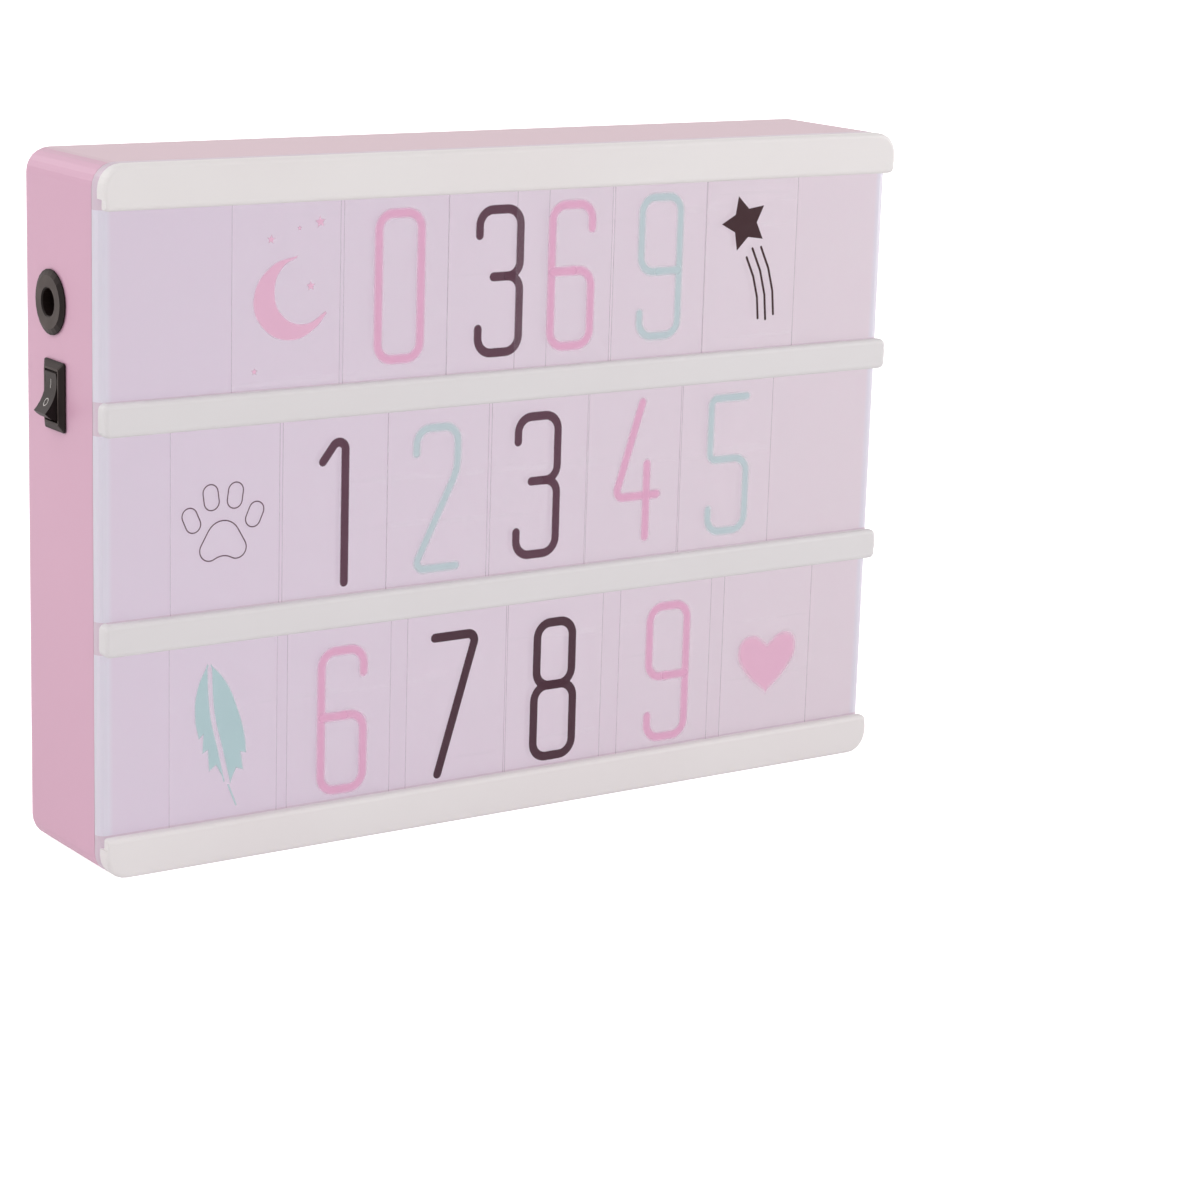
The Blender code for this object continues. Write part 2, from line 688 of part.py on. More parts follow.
def web_span(low, high, lip_below, lip_above):
    """The heights between which a rail's web reaches back to the panel."""
    return low + LIP_HEIGHT * lip_below, high - LIP_HEIGHT * lip_above


def peg_heights():
    """The height of each rail's pegs: the middle of its web."""
    return {name: sum(web_span(*span)) / 2 for name, span in rail_spans().items()}


def rails():
    """The four card rails, with grooves for the cards behind their lips and pegs into the panel.

    The two rails with a lip on both sides are closed at the left end, which stops the cards there.
    """
    back_y = PANEL_Y - GAP
    groove_y = RAIL_FRONT_Y + LIP_THICKNESS
    for name, (low, high, lip_below, lip_above) in rail_spans().items():
        outer = {low: RAIL_END_RADIUS, high: RAIL_END_RADIUS}
        if not lip_below:
            outer[low] = CORNER_RADIUS
        if not lip_above:
            outer[high] = CORNER_RADIUS
        bm = bmesh.new()
        add_box(bm, (SIDE_X, RAIL_FRONT_Y, low), (HALF_WIDTH, back_y, high))
        for height, radius in outer.items():
            corners = edges_along(bm, Y, lambda middle: abs(middle.z - height) < TOUCH)
            round_edges(bm, corners, radius, CORNER_STEPS)
        round_edges(bm, edges_at(bm, Y, RAIL_FRONT_Y), RAIL_FRONT_RADIUS, EDGE_STEPS)
        rail = finish(name, bm, PARTS, material=RAIL_WHITE)

        web_low, web_high = web_span(low, high, lip_below, lip_above)
        closed = lip_below and lip_above
        groove_x = RAIL_STOP_X if closed else SIDE_X - OVERRUN
        grooves = []
        ends = []
        sides = ((lip_below, low - OVERRUN, web_low), (lip_above, high + OVERRUN, web_high))
        for has_lip, edge, web in sides:
            if not has_lip:
                continue
            start, end = min(edge, web), max(edge, web)
            grooves.append(
                ((groove_x, groove_y, start), (HALF_WIDTH + OVERRUN, back_y + OVERRUN, end))
            )
            for side in (1,) if closed else (-1, 1):
                near, far = side * (HALF_WIDTH - LIP_SET_IN), side * (HALF_WIDTH + OVERRUN)
                low_corner = (min(near, far), RAIL_FRONT_Y - OVERRUN, start)
                ends.append((low_corner, (max(near, far), groove_y + OVERRUN, end)))
        cut(rail, boxes(name + "_grooves", grooves))
        cut(rail, boxes(name + "_ends", ends))
        pegs = [(WIDTH * share, (web_low + web_high) / 2) for share in PEG_PLACE_SHARES]
        peg_end = PANEL_BACK_Y + PEG_TIP
        join(rail, rounds(name + "_pegs", pegs, PEG_RADIUS, back_y - OVERRUN, peg_end, SMALL_SIDES))


def cards():
    """Three rows of film cards. Neighbours lie in two layers, so each slides past the next."""
    layer_y = (
        PANEL_Y - GAP - CARD_THICKNESS / 2,
        PANEL_Y - 2 * GAP - CARD_THICKNESS * 3 / 2,
    )
    half = Vector((CARD_WIDTH, CARD_THICKNESS, CARD_HEIGHT)) / 2
    for row, shares in CARD_ROW_SHARES.items():
        middle_z = ROW_BASE[row] - LIP_HEIGHT + GAP + CARD_HEIGHT / 2
        for i, share in enumerate(shares):
            at = Vector((WIDTH * share, layer_y[i % 2], middle_z))
            bm = bmesh.new()
            add_box(bm, at - half, at + half)
            finish(f"card_{row}_{i + 1}", bm, PARTS, at=at, material=CARD_FILM)


def reflector_plate():
    """The white plate behind the strips, with its corners cut back and a bay beside the controls."""
    inset = WALL + REFLECTOR_MARGIN
    low = Vector((SIDE_X + inset, REFLECTOR_FRONT_Y, inset))
    high = Vector((HALF_WIDTH - inset, REFLECTOR_BACK_Y, HEIGHT - inset))
    bm = bmesh.new()
    add_box(bm, low, high)
    plate = finish("reflector_plate", bm, PARTS, material=WHITE_SHEET)
    past = OVERRUN
    start, end = REFLECTOR_FRONT_Y - past, REFLECTOR_BACK_Y + past
    reach = CORNER_POST_INSET + POST_RADIUS + REFLECTOR_MARGIN
    notches = []
    for side in (-1, 1):
        outer, inner = side * HALF_WIDTH, side * (HALF_WIDTH - reach)
        left, right = min(outer, inner), max(outer, inner)
        notches.append(((left, start, 0), (right, end, reach)))
        notches.append(((left, start, HEIGHT - reach), (right, end, HEIGHT)))
    cut(plate, boxes("corner_notches", notches))
    bay_low = SWITCH_Z - BEZEL_HEIGHT / 2 - FLANGE_EDGE
    bay_high = SOCKET_Z + FLANGE_RADIUS + FLANGE_EDGE
    cut(plate, boxes("control_bay", [((SIDE_X, start, bay_low), (CONTROL_BAY_X, end, bay_high))]))
    hole = SMALL_SCREW_RADIUS + GAP
    cut(plate, rounds("reflector_holes", REFLECTOR_PLACES, hole, start, end, SMALL_SIDES))


def led_strips():
    """One light strip behind each window, with a lens over each lamp."""
    half_length = STRIP_LENGTH / 2
    half_width = STRIP_WIDTH / 2
    back_y = REFLECTOR_FRONT_Y - GAP
    for row, base in ROW_BASE.items():
        middle_z = base + WINDOW_HEIGHT / 2
        bm = bmesh.new()
        low = (-half_length, STRIP_FRONT_Y, middle_z - half_width)
        add_box(bm, low, (half_length, back_y, middle_z + half_width))
        strip = finish(f"led_strip_{row}", bm, PARTS, material=WHITE_SHEET)
        lenses = bmesh.new()
        for i in range(LENSES_PER_STRIP):
            x = STRIP_LENGTH * ((i + 0.5) / LENSES_PER_STRIP - 0.5)
            start = (x, STRIP_FRONT_Y + STRIP_THICKNESS / 2, middle_z)
            end = (x, STRIP_FRONT_Y - LENS_HEIGHT, middle_z)
            add_round(lenses, start, end, LENS_RADIUS, LENS_SIDES, LENS_TOP_RADIUS)
        join(strip, cutter(f"lenses_{row}", lenses))


def driver_board():
    """The board on its two posts, with a capacitor, a choke and a chip on its front."""
    low = (BOARD_X - BOARD_LENGTH / 2, BOARD_Y - BOARD_THICKNESS, SWITCH_Z - BOARD_HEIGHT / 2)
    high = (BOARD_X + BOARD_LENGTH / 2, BOARD_Y, SWITCH_Z + BOARD_HEIGHT / 2)
    bm = bmesh.new()
    add_box(bm, low, high)
    board = finish("driver_board", bm, PARTS, material=BOARD_GREEN)
    root = BOARD_Y - BOARD_THICKNESS / 2
    face = BOARD_Y - BOARD_THICKNESS
    place = {name: BOARD_X + BOARD_LENGTH * share for name, share in COMPONENT_SHARES.items()}
    cans = (
        ("capacitor", CAPACITOR_RADIUS, CAPACITOR_HEIGHT),
        ("choke", CHOKE_RADIUS, CHOKE_HEIGHT),
    )
    for name, radius, height in cans:
        join(board, rounds(name, [(place[name], SWITCH_Z)], radius, face - height, root, SMALL_SIDES))
    x, half = place["chip"], CHIP_SIZE / 2
    low = (x - half, face - CHIP_HEIGHT, SWITCH_Z - half)
    join(board, boxes("chip", [(low, (x + half, root, SWITCH_Z + half))]))
    hole = BOARD_PIN_RADIUS + GAP
    cut(board, rounds("board_holes", BOARD_PLACES, hole, face - OVERRUN, BOARD_Y + OVERRUN, SMALL_SIDES))


def bay_x(number):
    """The middle of a battery bay along X, counted from 1 at the left."""
    return (number - (BATTERY_COUNT + 1) / 2) * BAY_PITCH


def tail_slot(x):
    """The slot in the tray's upper wall for a terminal's tail."""
    half_x = TAIL_WIDTH / 2 + GAP
    half_y = CONTACT_PLATE / 2 + GAP
    low = (x - half_x, BATTERY_Y - half_y, TRAY_TOP - OVERRUN)
    return low, (x + half_x, BATTERY_Y + half_y, TRAY_TOP + TRAY_WALL + OVERRUN)


def battery_tray():
    """The open tray behind the door, with low dividers between the cells and two screw ears."""
    outer_half = TRAY_HALF + TRAY_WALL
    bm = bmesh.new()
    back_y = TRAY_FLOOR_Y - TRAY_FLOOR
    add_box(
        bm, (-outer_half, back_y, TRAY_BASE - TRAY_WALL), (outer_half, TRAY_RIM_Y, TRAY_TOP + TRAY_WALL)
    )
    tray = finish("battery_tray", bm, PARTS, material=WHITE_SHEET)

    ears = []
    for x, z in EAR_PLACES:
        inner = math.copysign(outer_half - OVERRUN, x)
        far = math.copysign(outer_half + EAR_WIDTH, x)
        low = (min(inner, far), EAR_Y - EAR_THICKNESS, z - EAR_HEIGHT / 2)
        ears.append((low, (max(inner, far), EAR_Y, z + EAR_HEIGHT / 2)))
    join(tray, boxes("tray_ears", ears))
    ear_bore = SMALL_SCREW_RADIUS + GAP
    ear_start = EAR_Y - EAR_THICKNESS - OVERRUN
    cut(tray, rounds("ear_holes", EAR_PLACES, ear_bore, ear_start, EAR_Y + OVERRUN, SMALL_SIDES))

    past_y = TRAY_RIM_Y + OVERRUN
    divider_y = TRAY_FLOOR_Y + DIVIDER_HEIGHT
    upper = ((-TRAY_HALF, divider_y, TRAY_BASE), (TRAY_HALF, past_y, TRAY_TOP))
    cut(tray, boxes("bay_upper_space", [upper]))
    half_bay = (BAY_PITCH - DIVIDER_WALL) / 2
    bays = []
    for number in range(1, BATTERY_COUNT + 1):
        x = bay_x(number)
        bays.append(
            ((x - half_bay, TRAY_FLOOR_Y, TRAY_BASE), (x + half_bay, divider_y + OVERRUN, TRAY_TOP))
        )
    cut(tray, boxes("bays", bays))
    channel = CONTACT_STACK + DIMPLE_HEIGHT
    contact_low = BATTERY_Y - CONTACT_HEIGHT / 2 - GAP
    channels = [
        ((-TRAY_HALF, contact_low, TRAY_BASE), (TRAY_HALF, past_y, TRAY_BASE + channel)),
        ((-TRAY_HALF, contact_low, TRAY_TOP - channel), (TRAY_HALF, past_y, TRAY_TOP)),
    ]
    cut(tray, boxes("contact_channels", channels))
    cut(tray, boxes("tail_slots", [tail_slot(bay_x(1)), tail_slot(bay_x(BATTERY_COUNT))]))
    hook_room = []
    for x in HOOK_PLACES:
        half = HOOK_WIDTH / 2 + DOOR_GAP
        low_y = BACK_INNER_Y - HOOK_SPACE - HOOK_THICKNESS - HOOK_REACH
        low = (x - half, low_y, TRAY_BASE - TRAY_WALL - OVERRUN)
        hook_room.append((low, (x + half, past_y, TRAY_BASE + OVERRUN)))
    cut(tray, boxes("hook_room", hook_room))


def battery_door():
    """The door in the back. Two hooks at its lower edge catch behind the housing's wall."""
    low_z, high_z = HATCH_LOW + DOOR_GAP, HATCH_HIGH - DOOR_GAP
    half = HATCH_HALF - DOOR_GAP
    hinge = (0, HALF_DEPTH, HATCH_LOW + DOOR_GAP / 2)
    inner_y = BACK_INNER_Y
    bm = bmesh.new()
    add_box(bm, (-half, inner_y, low_z), (half, HALF_DEPTH, high_z))
    door = finish("battery_door", bm, PARTS, at=hinge, material=PINK_ABS)

    pocket_y = HALF_DEPTH - DOOR_SKIN
    tongue_half = TONGUE_WIDTH / 2
    slot = TONGUE_SLOT
    tongue_low = high_z - TONGUE_LENGTH
    pocket_top = tongue_low - DOOR_RIM
    pockets = []
    step = (2 * half - DOOR_RIM) / DOOR_POCKETS
    for i in range(DOOR_POCKETS):
        start = -half + DOOR_RIM + i * step
        low = (start, inner_y - OVERRUN, low_z + 2 * DOOR_RIM)
        pockets.append((low, (start + step - DOOR_RIM, pocket_y, pocket_top)))
    cut(door, boxes("door_pockets", pockets))
    slots = []
    for side in (-1, 1):
        x = side * (tongue_half + slot / 2)
        low = (x - slot / 2, inner_y - OVERRUN, tongue_low)
        slots.append((low, (x + slot / 2, HALF_DEPTH + OVERRUN, high_z + OVERRUN)))
    cut(door, boxes("tongue_slots", slots))

    nib = bmesh.new()
    nib_z = high_z + NIB_STAND - NIB_RADIUS
    nib_y = (inner_y + HALF_DEPTH) / 2
    nib_half = tongue_half - slot
    add_round(nib, (-nib_half, nib_y, nib_z), (nib_half, nib_y, nib_z), NIB_RADIUS, SMALL_SIDES)
    join(door, cutter("tongue_nib", nib))

    hooks = bmesh.new()
    hook_y = inner_y - HOOK_SPACE
    tips = bmesh.new()
    behind_y = hook_y - HOOK_THICKNESS
    for x in HOOK_PLACES:
        left, right = x - HOOK_WIDTH / 2, x + HOOK_WIDTH / 2
        add_box(hooks, (left, behind_y, low_z), (right, inner_y + OVERRUN, low_z + HOOK_ROOT))
        add_box(tips, (left, behind_y, low_z - HOOK_REACH), (right, hook_y, low_z + HOOK_ROOT / 2))
    join(door, cutter("hook_roots", hooks))
    join(door, cutter("hook_tips", tips))


def spring_mesh(x):
    """A conical spring that stands on a contact plate at (x, 0, 0) and rises along +Z."""
    curve = bpy.data.curves.new("spring", "CURVE")
    curve.dimensions = "3D"
    curve.bevel_depth = SPRING_WIRE_RADIUS
    curve.bevel_resolution = 1
    curve.use_fill_caps = True
    count = round(SPRING_TURNS * SPRING_POINTS_PER_TURN) + 1
    spline = curve.splines.new("POLY")
    spline.points.add(count - 1)
    low = CONTACT_PLATE - SPRING_WIRE_RADIUS / 2
    high = CONTACT_PLATE + SPRING_HEIGHT - SPRING_WIRE_RADIUS
    for i, point in enumerate(spline.points):
        share = i / (count - 1)
        turn = 2 * math.pi * SPRING_TURNS * share
        radius = SPRING_BASE_RADIUS + (SPRING_TIP_RADIUS - SPRING_BASE_RADIUS) * share
        z = low + (high - low) * share
        point.co = (x + radius * math.cos(turn), radius * math.sin(turn), z, 1)
    guide = bpy.data.objects.new("spring", curve)
    CUTTERS.objects.link(guide)
    mesh = baked(guide)
    bm = bmesh.new()
    bm.from_mesh(mesh)
    bmesh.ops.remove_doubles(bm, verts=bm.verts, dist=TOUCH)
    return finish("spring", bm, CUTTERS)


def print_spring_gap():
    """The least gap between two turns of a contact spring."""
    rise = (SPRING_HEIGHT - SPRING_WIRE_RADIUS / 2) / SPRING_TURNS
    inward = (SPRING_BASE_RADIUS - SPRING_TIP_RADIUS) / SPRING_TURNS
    gap = math.hypot(rise, inward) - 2 * SPRING_WIRE_RADIUS
    print(f"least gap between the turns of a contact spring: {gap * 1000:.2f} mm")


def contact_mesh(name, left, right, spring_x=None, dimple_x=None, tail_x=None):
    """A sprung contact plate in its own frame: its back at z 0, its cells at +Z."""
    bm = bmesh.new()
    half_y = CONTACT_HEIGHT / 2
    add_box(bm, (left, -half_y, 0), (right, half_y, CONTACT_PLATE))
    plate = finish(name, bm, CUTTERS, material=NICKEL)
    if dimple_x is not None:
        dimple = bmesh.new()
        start, end = (dimple_x, 0, CONTACT_PLATE / 2), (dimple_x, 0, CONTACT_PLATE + DIMPLE_HEIGHT)
        add_round(dimple, start, end, DIMPLE_RADIUS, SMALL_SIDES, DIMPLE_TIP_RADIUS)
        join(plate, cutter("dimple", dimple))
    if tail_x is not None:
        tail = bmesh.new()
        low = (tail_x - TAIL_WIDTH / 2, -CONTACT_PLATE / 2, -GAP - TRAY_WALL - TAIL_LENGTH)
        add_box(tail, low, (tail_x + TAIL_WIDTH / 2, CONTACT_PLATE / 2, CONTACT_PLATE / 2))
        join(plate, cutter("tail", tail))
    if spring_x is not None:
        join(plate, spring_mesh(spring_x))
    return baked(plate)


def battery_contacts():
    """Two end terminals and five links, which put the six cells in series."""
    half_plate = BAY_PITCH / 2 - CONTACT_MARGIN / 2
    link = contact_mesh(
        "battery_link", -BAY_PITCH / 2 - half_plate, BAY_PITCH / 2 + half_plate, -BAY_PITCH / 2, BAY_PITCH / 2
    )
    plus = contact_mesh("battery_terminal_plus", -half_plate, half_plate, dimple_x=0, tail_x=0)
    minus = contact_mesh("battery_terminal_minus", -half_plate, half_plate, spring_x=0, tail_x=0)
    upside_down = Matrix.Rotation(math.pi, 4, "X")

    def lower(x):
        return Matrix.Translation((x, BATTERY_Y, TRAY_BASE + GAP))

    def upper(x):
        return Matrix.Translation((x, BATTERY_Y, TRAY_TOP - GAP)) @ upside_down

    between = [bay_x(number) + BAY_PITCH / 2 for number in range(1, BATTERY_COUNT)]
    placed = []
    for i, x in enumerate(between):
        place = lower(x) if i % 2 == 0 else upper(x)
        placed.append((f"battery_link_{i + 1}", place))
    copies(link, PARTS, placed)
    copies(plus, PARTS, [("battery_terminal_plus", upper(bay_x(1)))])
    copies(minus, PARTS, [("battery_terminal_minus", upper(bay_x(BATTERY_COUNT)))])


def screw_mesh(name, radius, length, head_radius):
    """A cross-head screw in its own frame: under its head at z 0, its head at +Z."""
    profile = [
        (-length, 0),
        (radius - length, radius),
        (0, radius),
        (0, head_radius),
        (HEAD_HEIGHT / 2, head_radius),
        (HEAD_HEIGHT, head_radius * HEAD_TOP_SHARE),
        (HEAD_HEIGHT, 0),
    ]
    bm = bmesh.new()
    add_turned(bm, profile, (0, 0, 0), Z, SCREW_SIDES)
    screw = finish(name, bm, CUTTERS, material=ZINC)
    reach = head_radius * RECESS_SHARE
    half = RECESS_WIDTH / 2
    floor = HEAD_HEIGHT - RECESS_DEPTH
    for i, (x, y) in enumerate(((reach, half), (half, reach))):
        slot = boxes(f"{name}_recess_{i}", [((-x, -y, floor), (x, y, HEAD_HEIGHT + OVERRUN))])
        cut(screw, slot)
    return baked(screw)


def screws():
    case = screw_mesh("case_screw", CASE_SCREW_RADIUS, CASE_SCREW_LENGTH, CASE_HEAD_RADIUS)
    small = screw_mesh("small_screw", SMALL_SCREW_RADIUS, SMALL_SCREW_LENGTH, SMALL_HEAD_RADIUS)
    short_length = EAR_THICKNESS + EAR_STANDOFF - GAP
    short = screw_mesh("tray_screw", SMALL_SCREW_RADIUS, short_length, SMALL_HEAD_RADIUS)
    facing_back = Matrix.Rotation(-math.pi / 2, 4, "X")
    facing_front = Matrix.Rotation(math.pi / 2, 4, "X")

    def placed(name, places, y, turn):
        found = []
        for i, (x, z) in enumerate(places):
            found.append((f"{name}_{i + 1}", Matrix.Translation((x, y, z)) @ turn))
        return found

    copies(case, PARTS, placed("case_screw", CORNER_PLACES, WELL_FLOOR_Y + GAP, facing_back))
    copies(
        small, PARTS, placed("reflector_screw", REFLECTOR_PLACES, REFLECTOR_FRONT_Y - GAP, facing_front)
    )
    copies(short, PARTS, placed("tray_screw", EAR_PLACES, EAR_Y - EAR_THICKNESS - GAP, facing_front))


def dc_socket():
    """The round lead socket: body with its flange, nut inside the wall, and centre pin."""
    at = (SIDE_X, SOCKET_Y, SOCKET_Z)
    edge = FLANGE_EDGE
    rim_x = FLANGE_BACK_X - FLANGE_THICKNESS * FLANGE_RIM_SHARE
    mouth_end = BARREL_BACK_X - BARREL_END_WALL
    bore = PIN_RADIUS + GAP
    outline = [
        (FLANGE_FRONT_X, MOUTH_RADIUS + edge / 2),
        (FLANGE_FRONT_X, FLANGE_RADIUS * FLANGE_FACE_SHARE),
        (rim_x, FLANGE_RADIUS),
        (FLANGE_BACK_X, FLANGE_RADIUS),
        (FLANGE_BACK_X, BARREL_RADIUS),
        (BARREL_BACK_X, BARREL_RADIUS),
        (BARREL_BACK_X, bore),
        (mouth_end, bore),
        (mouth_end, MOUTH_RADIUS),
        (FLANGE_FRONT_X + edge / 2, MOUTH_RADIUS),
        (FLANGE_FRONT_X, MOUTH_RADIUS + edge / 2),
    ]
    turned_about_x("dc_socket_body", outline, at, PARTS, BLACK_PLASTIC)

    nut_start = SIDE_INNER_X + GAP
    nut_end = nut_start + NUT_THICKNESS
    corner = NUT_FLATS / math.sqrt(3)
    nut = bmesh.new()
    add_round(nut, (nut_start, SOCKET_Y, SOCKET_Z), (nut_end, SOCKET_Y, SOCKET_Z), corner, 6)
    nut_object = finish("dc_socket_nut", nut, PARTS, at=at, material=BLACK_PLASTIC)
    hole = bmesh.new()
    hole_start = (nut_start - OVERRUN, SOCKET_Y, SOCKET_Z)
    add_round(hole, hole_start, (nut_end + OVERRUN, SOCKET_Y, SOCKET_Z), BARREL_RADIUS + GAP)
    cut(nut_object, cutter("nut_bore", hole))

    tip = FLANGE_FRONT_X + PIN_SET_BACK
    pin = [
        (tip, 0),
        (tip, PIN_RADIUS * PIN_TIP_SHARE),
        (tip + PIN_RADIUS * (1 - PIN_TIP_SHARE), PIN_RADIUS),
        (PIN_COLLAR_X, PIN_RADIUS),
        (PIN_COLLAR_X, PIN_COLLAR_RADIUS),
        (PIN_COLLAR_X + PIN_COLLAR_LENGTH, PIN_COLLAR_RADIUS),
        (PIN_COLLAR_X + PIN_COLLAR_LENGTH, PIN_RADIUS),
        (PIN_END_X, PIN_RADIUS),
        (PIN_END_X, 0),
    ]
    turned_about_x("dc_socket_pin", pin, at, PARTS, NICKEL, SMALL_SIDES)


def switch_body():
    """The switch's bezel, sloping out to the rocker's well, and its case."""
    well_y = ROCKER_WIDTH / 2 + ROCKER_SIDE_GAP
    well_z = ROCKER_RADIUS + ROCKER_END_GAP
    half_y, half_z = BEZEL_WIDTH / 2, BEZEL_HEIGHT / 2
    face_y = well_y + (half_y - well_y) * BEZEL_FACE_SHARE
    face_z = well_z + (half_z - well_z) * BEZEL_FACE_SHARE
    rim_x = FLANGE_BACK_X - BEZEL_THICKNESS * BEZEL_RIM_SHARE
    bm = bmesh.new()
    rings = []
    for x, y, z in ((FLANGE_BACK_X, half_y, half_z), (rim_x, half_y, half_z), (BEZEL_FRONT_X, face_y, face_z)):
        corners = ((y, z), (-y, z), (-y, -z), (y, -z))
        rings.append([bm.verts.new((x, SWITCH_Y + across, SWITCH_Z + up)) for across, up in corners])
    bm.faces.new(rings[0])
    bm.faces.new(rings[-1])
    corner_edges = []
    for near, far in zip(rings, rings[1:]):
        for i in range(len(near)):
            bm.faces.new((near[i - 1], near[i], far[i], far[i - 1]))
        corner_edges += [bm.edges.get((a, b)) for a, b in zip(near, far)]
    bmesh.ops.recalc_face_normals(bm, faces=bm.faces)
    round_edges(bm, corner_edges, BEZEL_CORNER_RADIUS, 2)
    body = finish("switch_body", bm, PARTS, material=BLACK_PLASTIC)
    case = bmesh.new()
    half_y, half_z = SWITCH_CASE_WIDTH / 2, SWITCH_CASE_HEIGHT / 2
    add_box(
        case,
        (FLANGE_BACK_X - OVERRUN, SWITCH_Y - half_y, SWITCH_Z - half_z),
        (SWITCH_BACK_X, SWITCH_Y + half_y, SWITCH_Z + half_z),
    )
    join(body, cutter("switch_case", case))
    floor_x = SWITCH_BACK_X - SWITCH_FLOOR
    well = (
        (BEZEL_FRONT_X - OVERRUN, SWITCH_Y - well_y, SWITCH_Z - well_z),
        (floor_x, SWITCH_Y + well_y, SWITCH_Z + well_z),
    )
    cut(body, boxes("rocker_well", [well]))
    bearing = bmesh.new()
    reach = well_y + TRUNNION_REACH
    start, end = (ROCKER_X, SWITCH_Y - reach, SWITCH_Z), (ROCKER_X, SWITCH_Y + reach, SWITCH_Z)
    add_round(bearing, start, end, TRUNNION_RADIUS + GAP, SMALL_SIDES)
    cut(body, cutter("rocker_bearings", bearing))
    slots = []
    for side in (-1, 1):
        z = SWITCH_Z + side * TERMINAL_SPACING / 2
        half_width = TERMINAL_WIDTH / 2 + GAP
        half_thick = TERMINAL_THICKNESS / 2 + GAP
        low = (floor_x - OVERRUN, SWITCH_Y - half_width, z - half_thick)
        slots.append((low, (SWITCH_BACK_X + OVERRUN, SWITCH_Y + half_width, z + half_thick)))
    cut(body, boxes("terminal_slots", slots))


def switch_rocker():
    """The rocker, with a dished face, tipped so that its lower end stands out."""
    outline = []
    for i in range(ROCKER_FACE_STEPS + 1):
        share = 2 * i / ROCKER_FACE_STEPS - 1
        outline.append((-(ROCKER_STAND - ROCKER_DISH * (1 - share**2)), ROCKER_HALF_HEIGHT * share))
    tip_angle = math.atan2(ROCKER_HALF_HEIGHT, ROCKER_STAND)
    step = (ROCKER_BACK_ANGLE - tip_angle) / ROCKER_END_STEPS
    angles = [tip_angle + step * i for i in range(1, ROCKER_END_STEPS + 1)]
    for side in (1, -1):
        for angle in angles if side > 0 else reversed(angles):
            outline.append((-ROCKER_RADIUS * math.cos(angle), side * ROCKER_RADIUS * math.sin(angle)))
    half = ROCKER_WIDTH / 2
    bm = bmesh.new()
    near = [bm.verts.new((u, -half, v)) for u, v in outline]
    face = bm.faces.new(near)
    made = bmesh.ops.extrude_face_region(bm, geom=[face])["geom"]
    moved = [v for v in made if isinstance(v, bmesh.types.BMVert)]
    bmesh.ops.translate(bm, verts=moved, vec=(0, 2 * half, 0))
    rocker = finish("switch_rocker", bm, PARTS, material=BLACK_PLASTIC)
    trunnion = bmesh.new()
    reach = half + ROCKER_SIDE_GAP + TRUNNION_REACH - GAP
    add_round(trunnion, (0, -reach, 0), (0, reach, 0), TRUNNION_RADIUS, SMALL_SIDES)
    axle = cutter("rocker_trunnions", trunnion)
    join(rocker, axle)
    for obj in (rocker, axle):
        obj.location = (ROCKER_X, SWITCH_Y, SWITCH_Z)
        obj.rotation_euler = (0, ROCKER_TILT, 0)


def switch_terminals():
    """The two blades, each with a small head on the case's floor inside."""
    floor_x = SWITCH_BACK_X - SWITCH_FLOOR
    for name, side in (("switch_terminal_lower", -1), ("switch_terminal_upper", 1)):
        z = SWITCH_Z + side * TERMINAL_SPACING / 2
        at = (SWITCH_BACK_X, SWITCH_Y, z)
        half_y, half_z = TERMINAL_WIDTH / 2, TERMINAL_THICKNESS / 2
        bm = bmesh.new()
        add_box(
            bm,
            (floor_x - GAP - TERMINAL_HEAD_THICKNESS / 2, SWITCH_Y - half_y, z - half_z),
            (BLADE_END_X, SWITCH_Y + half_y, z + half_z),
        )
        blade = finish(name, bm, PARTS, at=at, material=NICKEL)
        head = boxes(
            name + "_head",
            [
                (
                    (floor_x - GAP - TERMINAL_HEAD_THICKNESS, SWITCH_Y - half_y, z - TERMINAL_HEAD),
                    (floor_x - GAP, SWITCH_Y + half_y, z + TERMINAL_HEAD),
                )
            ],
        )
        join(blade, head)


def smooth_route(points):
    """Points about a wire step apart on one smooth curve through a wire's own points."""
    points = [Vector(p) for p in points]
    ends = [2 * points[0] - points[1], *points, 2 * points[-1] - points[-2]]
    found = [points[0]]
    for a, b, c, d in zip(ends, ends[1:], ends[2:], ends[3:]):
        steps = max(1, round((c - b).length / WIRE_STEP))
        for i in range(1, steps + 1):
            t = i / steps
            bend = (2 * b, (c - a) * t, (2 * a - 5 * b + 4 * c - d) * t**2, (3 * b - a - 3 * c + d) * t**3)
            found.append(sum(bend, Vector()) / 2)
    return found


def wire(name, points, material):
    route = smooth_route(points)
    curve = bpy.data.curves.new(name, "CURVE")
    curve.dimensions = "3D"
    curve.bevel_depth = WIRE_RADIUS
    curve.bevel_resolution = 2
    curve.use_fill_caps = True
    spline = curve.splines.new("POLY")
    spline.points.add(len(route) - 1)
    for point, place in zip(spline.points, route):
        point.co = (*place, 1)
    curve.materials.append(material)
    PARTS.objects.link(bpy.data.objects.new(name, curve))


